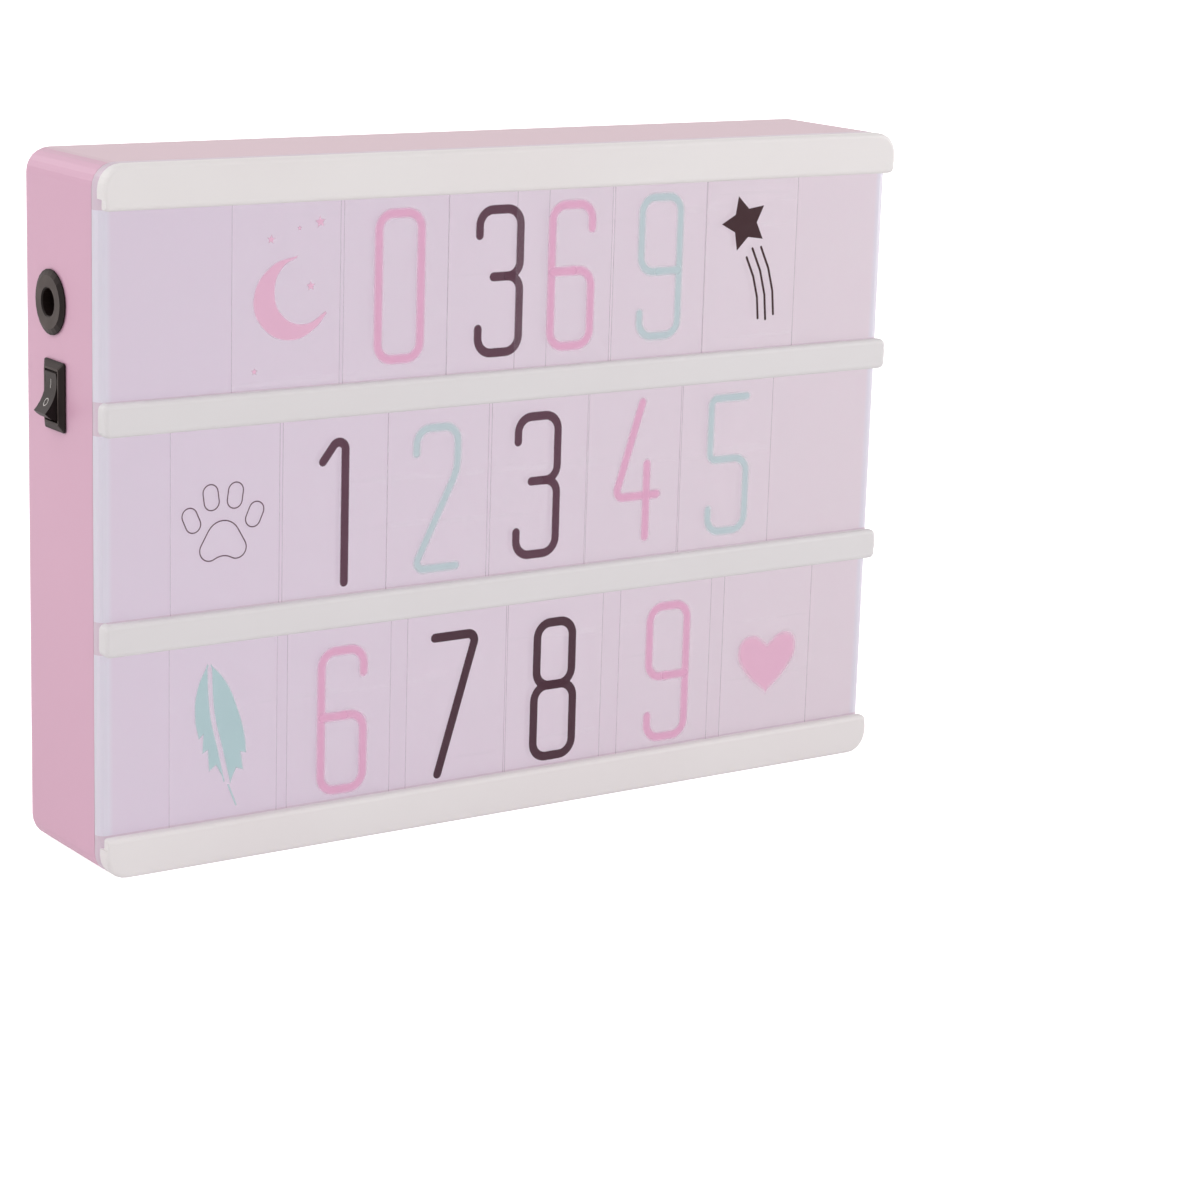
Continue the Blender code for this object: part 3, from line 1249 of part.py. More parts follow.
def wires():
    """The wires inside, each from one terminal to the next."""
    blade_x = BLADE_END_X + WIRE_RADIUS + WIRE_GAP
    lower_z, upper_z = SWITCH_Z - TERMINAL_SPACING / 2, SWITCH_Z + TERMINAL_SPACING / 2
    board_left = BOARD_X - BOARD_LENGTH / 2 - WIRE_GAP
    board_right = BOARD_X + BOARD_LENGTH / 2 + WIRE_GAP
    board_top = SWITCH_Z + BOARD_HEIGHT / 2 + WIRE_GAP
    board_base = SWITCH_Z - BOARD_HEIGHT / 2 - WIRE_GAP
    board_y = BOARD_Y - BOARD_THICKNESS / 2
    run_y = (REFLECTOR_BACK_Y + BOARD_Y) / 2
    tail_z = TRAY_TOP + TRAY_WALL + TAIL_LENGTH + WIRE_GAP
    plus_x, minus_x = bay_x(1), bay_x(BATTERY_COUNT)

    socket_x = BOARD_X - WIRE_PITCH
    socket_route = [
        (PIN_END_X + WIRE_GAP, SOCKET_Y, SOCKET_Z),
        (PIN_END_X + WIRE_LEAD, SOCKET_Y, SOCKET_Z),
        ((PIN_END_X + socket_x) / 2, run_y, SOCKET_Z - WIRE_PITCH),
        (socket_x, board_y, board_top + WIRE_LEAD),
        (socket_x, board_y, board_top),
    ]
    wire("wire_socket", socket_route, RED_PVC)

    switch_route = [
        (blade_x, SWITCH_Y, upper_z),
        (blade_x + WIRE_LEAD, SWITCH_Y, upper_z),
        (board_left - WIRE_LEAD, board_y, SWITCH_Z + WIRE_PITCH),
        (board_left, board_y, SWITCH_Z + WIRE_PITCH),
    ]
    wire("wire_switch", switch_route, RED_PVC)

    plus_route = [
        (plus_x, BATTERY_Y, tail_z),
        (plus_x, BATTERY_Y, tail_z + WIRE_LEAD),
        ((plus_x + board_left) / 2, run_y, (tail_z + board_base) / 2),
        (board_left, run_y, board_base - WIRE_LEAD),
        (blade_x + WIRE_LEAD, SWITCH_Y, lower_z),
        (blade_x, SWITCH_Y, lower_z),
    ]
    wire("wire_battery_plus", plus_route, RED_PVC)

    minus_route = [
        (minus_x, BATTERY_Y, tail_z),
        (minus_x, BATTERY_Y, tail_z + WIRE_LEAD),
        (plus_x, BATTERY_Y, tail_z + 3 * WIRE_LEAD),
        (board_right + 2 * WIRE_LEAD, board_y, SWITCH_Z),
        (board_right, board_y, SWITCH_Z),
    ]
    wire("wire_battery_minus", minus_route, BLACK_PVC)

    led_x = BOARD_X - 3 * WIRE_PITCH
    plate_y = (REFLECTOR_FRONT_Y + REFLECTOR_BACK_Y) / 2
    strip_y = STRIP_FRONT_Y + STRIP_THICKNESS / 2
    strip_z = ROW_BASE["top"] + WINDOW_HEIGHT / 2
    strip_end = -STRIP_LENGTH / 2 - WIRE_GAP
    led_route = [
        (led_x, board_y, board_top),
        (led_x, board_y, board_top + WIRE_LEAD),
        (CONTROL_BAY_X, run_y, board_top + 2 * WIRE_LEAD),
        (CONTROL_BAY_X - WIRE_PITCH, plate_y, board_top + WIRE_LEAD),
        (CONTROL_BAY_X - WIRE_PITCH / 2, strip_y, strip_z - WIRE_PITCH),
        (strip_end - WIRE_PITCH / 2, strip_y, strip_z),
        (strip_end, strip_y, strip_z),
    ]
    wire("wire_led", led_route, BLACK_PVC)


rear_housing()
diffuser_panel()
rails()
cards()
reflector_plate()
led_strips()
driver_board()
battery_tray()
battery_door()
battery_contacts()
screws()
dc_socket()
switch_body()
switch_rocker()
switch_terminals()
wires()
print_spring_gap()
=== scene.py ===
# %% [markdown]
# # A light box with sliding film cards
# This lesson dresses a tabletop light box: a pink moulded housing, a milky front panel, four white
# rails and eighteen clear film cards with numbers and small pictures. The solids come from the CAD
# part and are already in place. Here each one gets its real material, and what is too thin for the
# solids is added: the ink on the cards and the marks on the switch.

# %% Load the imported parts
import json
import math

import bmesh
import bpy
from mathutils import Matrix, Vector


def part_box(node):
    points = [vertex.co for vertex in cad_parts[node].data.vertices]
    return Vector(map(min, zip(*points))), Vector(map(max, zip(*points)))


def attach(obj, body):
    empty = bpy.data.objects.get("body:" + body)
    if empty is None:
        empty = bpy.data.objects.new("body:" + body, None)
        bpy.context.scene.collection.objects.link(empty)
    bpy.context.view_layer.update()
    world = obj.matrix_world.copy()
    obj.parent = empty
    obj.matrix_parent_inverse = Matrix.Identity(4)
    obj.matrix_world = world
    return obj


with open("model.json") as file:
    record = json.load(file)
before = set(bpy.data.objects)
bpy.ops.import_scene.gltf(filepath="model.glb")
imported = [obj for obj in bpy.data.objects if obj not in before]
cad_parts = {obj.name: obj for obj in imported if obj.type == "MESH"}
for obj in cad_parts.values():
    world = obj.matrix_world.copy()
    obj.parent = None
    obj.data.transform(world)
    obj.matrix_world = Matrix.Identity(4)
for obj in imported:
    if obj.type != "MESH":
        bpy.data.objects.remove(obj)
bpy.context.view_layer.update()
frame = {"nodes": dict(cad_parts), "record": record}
nodes = frame["nodes"]
MM = 0.001

# %% [markdown]
# ## The camera
# The box is seen from its front left and a little from above. The values were found by matching
# the corners of the housing and the ends of the rails. The turn about the view axis is small: the
# picture was taken with the camera tipped by not quite two degrees. Places are in metres, and the
# lens is in millimetres.

# %% Place the camera
CAMERA_PLACE = (-0.58774, -0.90758, 0.33160)
CAMERA_AZIMUTH = math.radians(-35.150)
CAMERA_HEIGHT_ANGLE = math.radians(13.719)
CAMERA_TIP = math.radians(1.835)
CAMERA_LENS = 99.826
CAMERA_NEAR = 0.05
CAMERA_FAR = 50

turn = Matrix.Rotation(CAMERA_AZIMUTH, 4, "Z")
turn = turn @ Matrix.Rotation(math.pi / 2 - CAMERA_HEIGHT_ANGLE, 4, "X")
turn = turn @ Matrix.Rotation(CAMERA_TIP, 4, "Z")
bpy.ops.object.camera_add(location=CAMERA_PLACE, rotation=turn.to_euler())
camera = bpy.context.object
camera.data.lens = CAMERA_LENS
camera.data.clip_start = CAMERA_NEAR
camera.data.clip_end = CAMERA_FAR
bpy.context.scene.camera = camera
print("camera lens in mm:", camera.data.lens)

# %% [markdown]
# ## Colours and nodes
# Colours are read off as hex values, as in a paint program. A shader wants linear light, so one
# function turns them. Another adds a node with its settings and its links. An input goes by its
# name, or by its number in a node whose inputs share one name, as those of a Math node do.

# %% Helpers for materials
def colour(code):
    """The linear colour that a shader wants, from an sRGB hex value."""
    shares = [int(code[i : i + 2], 16) / 255 for i in (1, 3, 5)]
    return [s / 12.92 if s <= 0.04045 else ((s + 0.055) / 1.055) ** 2.4 for s in shares] + [1.0]


def add_node(tree, kind, settings=None, links=None):
    """Adds a node, sets its properties or inputs, and links other inputs to their sources."""
    node = tree.nodes.new(kind)
    for key, value in (settings or {}).items():
        if isinstance(key, str) and hasattr(node, key):
            setattr(node, key, value)
        else:
            node.inputs[key].default_value = value
    for key, source in (links or {}).items():
        tree.links.new(source, node.inputs[key])
    return node


def new_material(name, **values):
    """A material with a Principled shader, whose plain values are set on its own sockets."""
    material = bpy.data.materials.new(name)
    material.use_nodes = True
    tree = material.node_tree
    shader = tree.nodes["Principled BSDF"]
    for socket, value in values.items():
        shader.inputs[socket.replace("_", " ")].default_value = value
    return material, tree, shader


# %% [markdown]
# ## Surface grain and colour drift
# A moulded part is never quite even. Its tool was spark eroded, which leaves a fine grain, and its
# colour drifts a little where the melt flowed. Two noises give both: a fine one for a bump, and a
# wide one that mixes two close tones. The real grain is about 0.2 mm across, too fine for the
# picture, so it is drawn a little coarser.

# %% Add grain and drift to a material
def add_grain(tree, shader, grain_mm, height_mm, strength):
    """A fine bump from noise, whose grains are grain_mm across."""
    place = add_node(tree, "ShaderNodeTexCoord").outputs["Object"]
    noise = add_node(
        tree, "ShaderNodeTexNoise", {"Scale": 1 / (grain_mm * MM), "Detail": 2.0}, {"Vector": place}
    )
    bump = add_node(
        tree,
        "ShaderNodeBump",
        {"Strength": strength, "Distance": height_mm * MM},
        {"Height": noise.outputs["Fac"]},
    )
    tree.links.new(bump.outputs["Normal"], shader.inputs["Normal"])


def add_drift(tree, first, second, patch_mm):
    """Two close tones mixed by a wide noise; returns the colour's socket."""
    place = add_node(tree, "ShaderNodeTexCoord").outputs["Object"]
    noise = add_node(
        tree, "ShaderNodeTexNoise", {"Scale": 1 / (patch_mm * MM), "Detail": 1.0}, {"Vector": place}
    )
    mix = add_node(
        tree,
        "ShaderNodeMix",
        {"data_type": "RGBA", "A": colour(first), "B": colour(second)},
        {"Factor": noise.outputs["Fac"]},
    )
    return mix.outputs["Result"]


# %% [markdown]
# ## Pink ABS for the housing and the battery door
# The housing is injection moulded ABS with a satin spark finish. ABS has an index of refraction of
# about 1.54, and the satin tool leaves it at a middling roughness, so that its top, seen at a
# flat angle, takes a pale sheen from the white surroundings. The faces that look up are also
# painted a paler, greyer pink: a painted sheen on top of that one.

# %% Make the pink plastic
TOP_SHEEN_FROM = 0.90
TOP_SHEEN_TO = 0.99

pink_abs, tree, shader = new_material("moulded_pink_abs", Roughness=0.42, IOR=1.54)
normal = add_node(tree, "ShaderNodeTexCoord").outputs["Normal"]
turned = add_node(tree, "ShaderNodeSeparateXYZ", links={"Vector": normal})
painted_top_sheen = add_node(
    tree,
    "ShaderNodeMapRange",
    {"From Min": TOP_SHEEN_FROM, "From Max": TOP_SHEEN_TO},
    {"Value": turned.outputs["Z"]},
)
# Painted sheen: faces that look up are mixed towards a paler, greyer pink.
tone = add_node(
    tree,
    "ShaderNodeMix",
    {"data_type": "RGBA", "B": colour("#cdadb9")},
    {"Factor": painted_top_sheen.outputs["Result"], "A": add_drift(tree, "#d4a4bb", "#d1a1b8", patch_mm=60)},
)
tree.links.new(tone.outputs["Result"], shader.inputs["Base Color"])
add_grain(tree, shader, grain_mm=0.45, height_mm=0.02, strength=0.5)
print("housing finish:", pink_abs.name)

# %% [markdown]
# ## Milky polystyrene for the front panel
# The front is opal polystyrene, made to spread light. It is not quite white: its face takes a
# lilac tone from the pink housing behind it, a little warmer towards the right, while its rounded
# rim and its short return stay bluish white. Beside the rails' ends the rim is painted a darker
# pinkish grey: painted shade from the rails.
# The tone follows the place on the panel, in metres: how far to the right, how far back from its
# front, and whether it is level with a rail.

# %% Make the milky panel
RAILS = ("top_rail", "upper_middle_rail", "lower_middle_rail", "bottom_rail")
PANEL_FACE_DEPTH = 0.0002
PANEL_EDGE_DEPTH = 0.0014
PANEL_FACE_REACH = 0.1452
PANEL_RIM_REACH = 0.1468
PANEL_LEFT = -0.12
PANEL_RIGHT = 0.13
GLOW_SHARE = 0.4
GLOW_REACH = 0.003
GLOW_SPREAD = (1.0, 0.8, 0.9)

panel_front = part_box("diffuser_panel")[0].y
milky_panel, tree, shader = new_material(
    "opal_polystyrene",
    Roughness=0.3,
    IOR=1.59,
    Subsurface_Weight=GLOW_SHARE,
    Subsurface_Radius=GLOW_SPREAD,
    Subsurface_Scale=GLOW_REACH,
)
place = add_node(tree, "ShaderNodeTexCoord").outputs["Object"]
split = add_node(tree, "ShaderNodeSeparateXYZ", links={"Vector": place})
across = add_node(
    tree,
    "ShaderNodeMapRange",
    {"From Min": PANEL_LEFT, "From Max": PANEL_RIGHT},
    {"Value": split.outputs["X"]},
)
face = add_node(
    tree,
    "ShaderNodeMix",
    {"data_type": "RGBA", "A": colour("#d8c9d9"), "B": colour("#dbccd6")},
    {"Factor": across.outputs["Result"]},
)
depth = add_node(
    tree,
    "ShaderNodeMapRange",
    {"From Min": panel_front + PANEL_FACE_DEPTH, "From Max": panel_front + PANEL_EDGE_DEPTH},
    {"Value": split.outputs["Y"]},
)
aside = add_node(tree, "ShaderNodeMath", {"operation": "ABSOLUTE"}, {0: split.outputs["X"]})
rim = add_node(
    tree,
    "ShaderNodeMapRange",
    {"From Min": PANEL_FACE_REACH, "From Max": PANEL_RIM_REACH},
    {"Value": aside.outputs["Value"]},
)
edge = add_node(
    tree,
    "ShaderNodeMath",
    {"operation": "MAXIMUM"},
    {0: depth.outputs["Result"], 1: rim.outputs["Result"]},
)
tone = add_node(
    tree,
    "ShaderNodeMix",
    {"data_type": "RGBA", "B": colour("#d8d2de")},
    {"Factor": edge.outputs["Value"], "A": face.outputs["Result"]},
)

# %% Find what is level with a rail
# The sum over the rails starts from a plain zero.
rail_shade_share = add_node(tree, "ShaderNodeMath", {"operation": "MULTIPLY", 1: 0.0})
for name in RAILS:
    low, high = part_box(name)
    level = add_node(
        tree,
        "ShaderNodeMath",
        {"operation": "COMPARE", 1: (low.z + high.z) / 2, 2: (high.z - low.z) / 2},
        {0: split.outputs["Z"]},
    )
    rail_shade_share = add_node(
        tree,
        "ShaderNodeMath",
        {"operation": "ADD"},
        {0: rail_shade_share.outputs["Value"], 1: level.outputs["Value"]},
    )
# Painted shade: where it is level with a rail, the panel turns a darker pinkish grey.
rail_shaded = add_node(
    tree,
    "ShaderNodeMix",
    {"data_type": "RGBA", "B": colour("#cfbcc9")},
    {"Factor": rail_shade_share.outputs["Value"], "A": tone.outputs["Result"]},
)
tree.links.new(rail_shaded.outputs["Result"], shader.inputs["Base Color"])
print("panel finish:", milky_panel.name, "with", len(RAILS), "rails in front")

# %% [markdown]
# ## White polystyrene for the rails
# The rails are extruded in warm white polystyrene and have a soft gloss. Extrusion leaves faint
# lines along their length, about a millimetre apart, which a noise stretched along X gives. The two
# rails between the rows get a darker copy of the same white: painted shade.

# %% Make the rail plastic
RAIL_LINE_SPACING = 0.9
RAIL_LINE_HEIGHT = 0.02
RAIL_LINE_STRENGTH = 0.25
RAIL_LINE_STRETCH = 50


def new_rail(name, first, second):
    """White rail plastic with faint lines along X, in two close tones."""
    rail, tree, shader = new_material(name, Roughness=0.5, IOR=1.59)
    place = add_node(tree, "ShaderNodeTexCoord").outputs["Object"]
    stretch = add_node(
        tree, "ShaderNodeMapping", {"Scale": (1 / RAIL_LINE_STRETCH, 1.0, 1.0)}, {"Vector": place}
    )
    lines = add_node(
        tree,
        "ShaderNodeTexNoise",
        {"Scale": 1 / (RAIL_LINE_SPACING * MM), "Detail": 2.0},
        {"Vector": stretch.outputs["Vector"]},
    )
    bump = add_node(
        tree,
        "ShaderNodeBump",
        {"Strength": RAIL_LINE_STRENGTH, "Distance": RAIL_LINE_HEIGHT * MM},
        {"Height": lines.outputs["Fac"]},
    )
    tree.links.new(bump.outputs["Normal"], shader.inputs["Normal"])
    tone = add_drift(tree, first, second, patch_mm=45)
    tree.links.new(tone, shader.inputs["Base Color"])
    return rail


rail_white = new_rail("extruded_white_polystyrene", "#e3dfde", "#e0d9d9")
# Painted shade: a darker copy of the rail white, for the two rails between the rows.
rail_shaded_between = new_rail("extruded_white_polystyrene_painted_shade", "#dbd7d8", "#d8d3d4")
print("rail finishes:", rail_white.name, "and", rail_shaded_between.name)

# %% [markdown]
# ## Clear film for the cards
# Each card is cut from clear polyester film. Head on it hardly shows: it only lifts the tone behind
# it a little, with a faint pale streak here and there: a painted sheen of light the film mirrors. The
# streaks lie level, about 5 mm high and 110 mm long, so each runs right across a card. A Mapping
# node stretches first and turns afterwards, so its turn doesn't tilt them: it only takes another
# slice of the noise. The faces that point sideways are painted grey and are less clear than the
# front: painted shade for the fine grey lines that the cut edges show.

# %% Make the film
FILM_OPACITY = 0.02
EDGE_OPACITY = 0.38
EDGE_LOOKS_FORWARD = 0.3
FACE_LOOKS_FORWARD = 0.9
STREAK_OPACITY = 0.07
NOISE_TURN = math.radians(-22)
STREAKS_PER_METRE = (9, 9, 190)
STREAK_BEGINS = 0.66
STREAK_FULL = 0.82

card_film, tree, shader = new_material("clear_polyester_film", Roughness=0.16, IOR=1.64)
normal = add_node(tree, "ShaderNodeNewGeometry").outputs["Normal"]
split = add_node(tree, "ShaderNodeSeparateXYZ", links={"Vector": normal})
front = add_node(tree, "ShaderNodeMath", {"operation": "ABSOLUTE"}, {0: split.outputs["Y"]})
opacity = add_node(
    tree,
    "ShaderNodeMapRange",
    {
        "From Min": EDGE_LOOKS_FORWARD,
        "From Max": FACE_LOOKS_FORWARD,
        "To Min": EDGE_OPACITY,
        "To Max": FILM_OPACITY,
    },
    {"Value": front.outputs["Value"]},
)
place = add_node(tree, "ShaderNodeTexCoord").outputs["Object"]
stretched = add_node(
    tree,
    "ShaderNodeMapping",
    {"Rotation": (0, NOISE_TURN, 0), "Scale": STREAKS_PER_METRE},
    {"Vector": place},
)
streak = add_node(
    tree,
    "ShaderNodeTexNoise",
    {"Scale": 1.0, "Detail": 1.0},
    {"Vector": stretched.outputs["Vector"]},
)
# Painted sheen: pale streaks where the stretched noise is high.
painted_sheen_share = add_node(
    tree,
    "ShaderNodeMapRange",
    {"From Min": STREAK_BEGINS, "From Max": STREAK_FULL, "To Max": STREAK_OPACITY},
    {"Value": streak.outputs["Fac"]},
)
clouded = add_node(
    tree,
    "ShaderNodeMath",
    {"operation": "ADD"},
    {0: opacity.outputs["Result"], 1: painted_sheen_share.outputs["Result"]},
)
tree.links.new(clouded.outputs["Value"], shader.inputs["Alpha"])
# Painted shade: faces that point sideways turn grey, faces that look forward stay pale.
tint = add_node(
    tree,
    "ShaderNodeMix",
    {"data_type": "RGBA", "A": colour("#a494a0"), "B": colour("#f0e6ee")},
    {"Factor": front.outputs["Value"]},
)
tree.links.new(tint.outputs["Result"], shader.inputs["Base Color"])
print("card finish:", card_film.name)

# %% [markdown]
# ## Black plastic with painted light and shade
# The socket and the switch are glass filled nylon, nearly black and slightly brown. Their tones are
# painted light and shade: faces that look out to the left are painted a lighter grey, other slopes a
# mid grey, and the slopes towards the front and the hollow of the socket are painted black as
# shade. The tone follows the way a face looks and how deep it lies, in metres behind the switch's
# outer face.

# %% Make the black plastic
SLOPE_LOOKS = -0.30
FACE_LOOKS = -0.10
EDGE_LOOKS = -0.90
FLAT_LOOKS = -0.98
LIT_DEPTH = 0.0006
SHADED_DEPTH = 0.0014
ROCKER_DROP = 0.004


def add_painted_light_and_shade(tree, shaded_tone, slope, lit_tone, outside):
    """Painted light and shade: black on what looks to the front or lies deep, grey on slopes, lighter on
    what looks out to the left.
    """
    looks = add_node(tree, "ShaderNodeTexCoord")
    turned = add_node(tree, "ShaderNodeSeparateXYZ", links={"Vector": looks.outputs["Normal"]})
    placed = add_node(tree, "ShaderNodeSeparateXYZ", links={"Vector": looks.outputs["Object"]})
    away = add_node(
        tree,
        "ShaderNodeMapRange",
        {"From Min": SLOPE_LOOKS, "From Max": FACE_LOOKS},
        {"Value": turned.outputs["Y"]},
    )
    flat = add_node(
        tree,
        "ShaderNodeMapRange",
        {"From Min": EDGE_LOOKS, "From Max": FLAT_LOOKS},
        {"Value": turned.outputs["X"]},
    )
    shallow = add_node(
        tree,
        "ShaderNodeMapRange",
        {"From Min": outside + SHADED_DEPTH, "From Max": outside + LIT_DEPTH},
        {"Value": placed.outputs["X"]},
    )
    share = add_node(
        tree,
        "ShaderNodeMath",
        {"operation": "MULTIPLY"},
        {0: away.outputs["Result"], 1: shallow.outputs["Result"]},
    )
    grey = add_node(
        tree,
        "ShaderNodeMix",
        {"data_type": "RGBA", "A": colour(slope)},
        {"Factor": flat.outputs["Result"]},
    )
    tree.links.new(add_drift(tree, lit_tone, slope, patch_mm=8), grey.inputs["B"])
    tone = add_node(
        tree,
        "ShaderNodeMix",
        {"data_type": "RGBA", "A": colour(shaded_tone)},
        {"Factor": share.outputs["Value"], "B": grey.outputs["Result"]},
    )
    return tone.outputs["Result"]


black_nylon, tree, shader = new_material(
    "black_nylon", Roughness=0.5, IOR=1.53, Specular_IOR_Level=0.12
)
# Painted light and shade for the socket and the switch's body.
front_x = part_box("switch_body")[0].x
painted_tone = add_painted_light_and_shade(tree, "#1a1110", "#3a312f", "#5f5552", front_x)
tree.links.new(painted_tone, shader.inputs["Base Color"])
add_grain(tree, shader, grain_mm=0.3, height_mm=0.02, strength=0.6)

# Painted shade: the rocker's own copy, darker on its flat face than the socket's.
rocker_nylon, tree, shader = new_material(
    "rocker_black_nylon_painted_shade", Roughness=0.5, IOR=1.53, Specular_IOR_Level=0.12
)
painted_tone = add_painted_light_and_shade(tree, "#140d0c", "#413a39", "#443d3b", front_x + ROCKER_DROP)
tree.links.new(painted_tone, shader.inputs["Base Color"])
add_grain(tree, shader, grain_mm=0.3, height_mm=0.02, strength=0.4)
print("socket and switch finishes:", black_nylon.name, "and", rocker_nylon.name)

# %% [markdown]
# ## The pieces inside
# Inside are white polystyrene, a green circuit board, nickel plated contacts, zinc plated screws
# and PVC wires. They hardly show, so each has only its colour's drift and a fine grain.

# %% Make the inner finishes
def new_plain(name, first, second, patch_mm, grain_mm, height_mm, strength, **values):
    """A finish with nothing but two close tones and a grain."""
    material, tree, shader = new_material(name, **values)
    tree.links.new(add_drift(tree, first, second, patch_mm), shader.inputs["Base Color"])
    add_grain(tree, shader, grain_mm, height_mm, strength)
    return material


FINE = {"height_mm": 0.02, "strength": 0.3}
STYRENE = {"Roughness": 0.5, "IOR": 1.59}
VINYL = {"Roughness": 0.45, "IOR": 1.52}

inner_white = new_plain(
    "white_polystyrene", "#efeeea", "#ebe9e4", patch_mm=30, grain_mm=0.5, **FINE, **STYRENE
)
board_green = new_plain(
    "solder_mask_board",
    "#2f6e4a",
    "#3a7a54",
    patch_mm=5,
    grain_mm=1.2,
    height_mm=0.03,
    strength=0.5,
    Roughness=0.3,
    IOR=1.5,
)
nickel = new_plain(
    "nickel_plate",
    "#c9c4ba",
    "#bdb7ac",
    patch_mm=6,
    grain_mm=0.4,
    height_mm=0.01,
    strength=0.3,
    Metallic=1.0,
    Roughness=0.28,
)
zinc = new_plain(
    "zinc_plate",
    "#bdbdb9",
    "#aeb0b2",
    patch_mm=4,
    grain_mm=0.3,
    height_mm=0.01,
    strength=0.4,
    Metallic=1.0,
    Roughness=0.38,
)
red_pvc = new_plain("red_pvc", "#b3262a", "#a82226", patch_mm=10, grain_mm=0.6, **FINE, **VINYL)
black_pvc = new_plain("black_pvc", "#242426", "#2b2b2e", patch_mm=10, grain_mm=0.6, **FINE, **VINYL)
print("materials so far:", len(bpy.data.materials))

# %% [markdown]
# ## Give each solid its finish
# The record says which finish each solid has. The rocker shares its slot with the socket, but gets
# its own copy of that finish with darker, more even tones on its face: painted shade. The film, the
# ink and the milky rails let light past. Drawn as if they were solid they would darken the panel
# beside them more than the real ones do, so they are seen but throw no shade.

# %% Assign the materials
def throw_no_shade(piece):
    """Lets light past a clear, milky or very thin piece, which is seen but throws no shade."""
    piece.visible_shadow = False
    piece.visible_diffuse = False


FINISHES = {
    "pink_abs": pink_abs,
    "milky_panel": milky_panel,
    "rail_white": rail_white,
    "card_film": card_film,
    "black_plastic": black_nylon,
    "inner_white": inner_white,
    "circuit_board": board_green,
    "nickel_contacts": nickel,
    "zinc_screws": zinc,
    "red_wire": red_pvc,
    "black_wire": black_pvc,
}
for part in frame["record"]["subparts"]:
    solid = nodes[part["node"]].data
    solid.materials.clear()
    solid.materials.append(FINISHES[part["material_slot"]])
    if part["material_slot"] == "card_film":
        throw_no_shade(nodes[part["node"]])
nodes["switch_rocker"].data.materials[0] = rocker_nylon
for name in RAILS:
    throw_no_shade(nodes[name])
# The rails between the rows take the darker copy: painted shade.
for name in RAILS[1:-1]:
    nodes[name].data.materials[0] = rail_shaded_between
print("finishes given to", len(nodes), "solids")

# %% [markdown]
# ## Ink
# The pictures and numbers are screen printed. The black inks are dense and crisp. The pink and mint
# inks are thin, and the panel's glow softens their edges, so most fade out over one to three
# millimetres. The numbers have their own mixes: rose is a little deeper than the pictures' pink, and
# pale is a little greyer than their mint. The blacks come in three strengths: a softer one in the
# upper two rows, a deep one in the bottom row and a full one for the star. An attribute named ink is
# 0 on the rim of each print and 1 inside, and the opacity follows it.

# %% Make the inks
def new_ink(name, first, second, opacity):
    """A thin ink, whose opacity rises from its rim inwards."""
    ink, tree, shader = new_material(name, Roughness=0.5, IOR=1.5, Specular_IOR_Level=0.15)
    tree.links.new(add_drift(tree, first, second, patch_mm=12), shader.inputs["Base Color"])
    rim = add_node(tree, "ShaderNodeAttribute", {"attribute_name": "ink"}).outputs["Fac"]
    fade = add_node(
        tree,
        "ShaderNodeMapRange",
        {"interpolation_type": "SMOOTHSTEP", "To Max": opacity},
        {"Value": rim},
    )
    tree.links.new(fade.outputs["Result"], shader.inputs["Alpha"])
    return ink


inks = {
    "pink": new_ink("screen_ink_pink", "#e4b2cb", "#e1afc8", 0.93),
    "rose": new_ink("screen_ink_rose", "#dfa7c5", "#dca4c2", 0.93),
    "mint": new_ink("screen_ink_mint", "#b0cacd", "#acc7ca", 0.93),
    "pale": new_ink("screen_ink_pale_mint", "#bbcacf", "#b7c7cc", 0.93),
    "black": new_ink("screen_ink_black", "#593948", "#553644", 0.98),
    "deep": new_ink("screen_ink_deep_black", "#472b36", "#422732", 0.98),
    "night": new_ink("screen_ink_full_black", "#3b2025", "#371e23", 0.995),
    "white": new_ink("pad_print_white", "#d6d0cc", "#cdc7c3", 0.9),
}
print("inks:", ", ".join(inks))

# %% [markdown]
# ## Drawing with a nib
# The numbers are strokes of even width with round ends. By hand such a stroke is drawn with a nib:
# an edge as long as the stroke is wide, extruded along the straights and spun round the bends. The
# nib is the middle line of a small disc. Half of that disc stays as the round start, and half of
# the nib spins about its middle for the round end. All sizes are in millimetres, on a flat sheet.
# Points closer than TINY count as one.

# %% Select by place
TINY = 0.005


def select_where(test):
    """Selects the vertices of the mesh in edit mode whose place passes the test."""
    bpy.ops.mesh.select_all(action="DESELECT")
    mesh = bpy.context.object.data
    shape = bmesh.from_edit_mesh(mesh)
    for vertex in shape.verts:
        if test(vertex.co):
            vertex.select_set(True)
    shape.select_flush(True)
    bmesh.update_edit_mesh(mesh)


# %% Draw one stroke
NIB_SIDES = 12
ARC_STEP = math.radians(11)


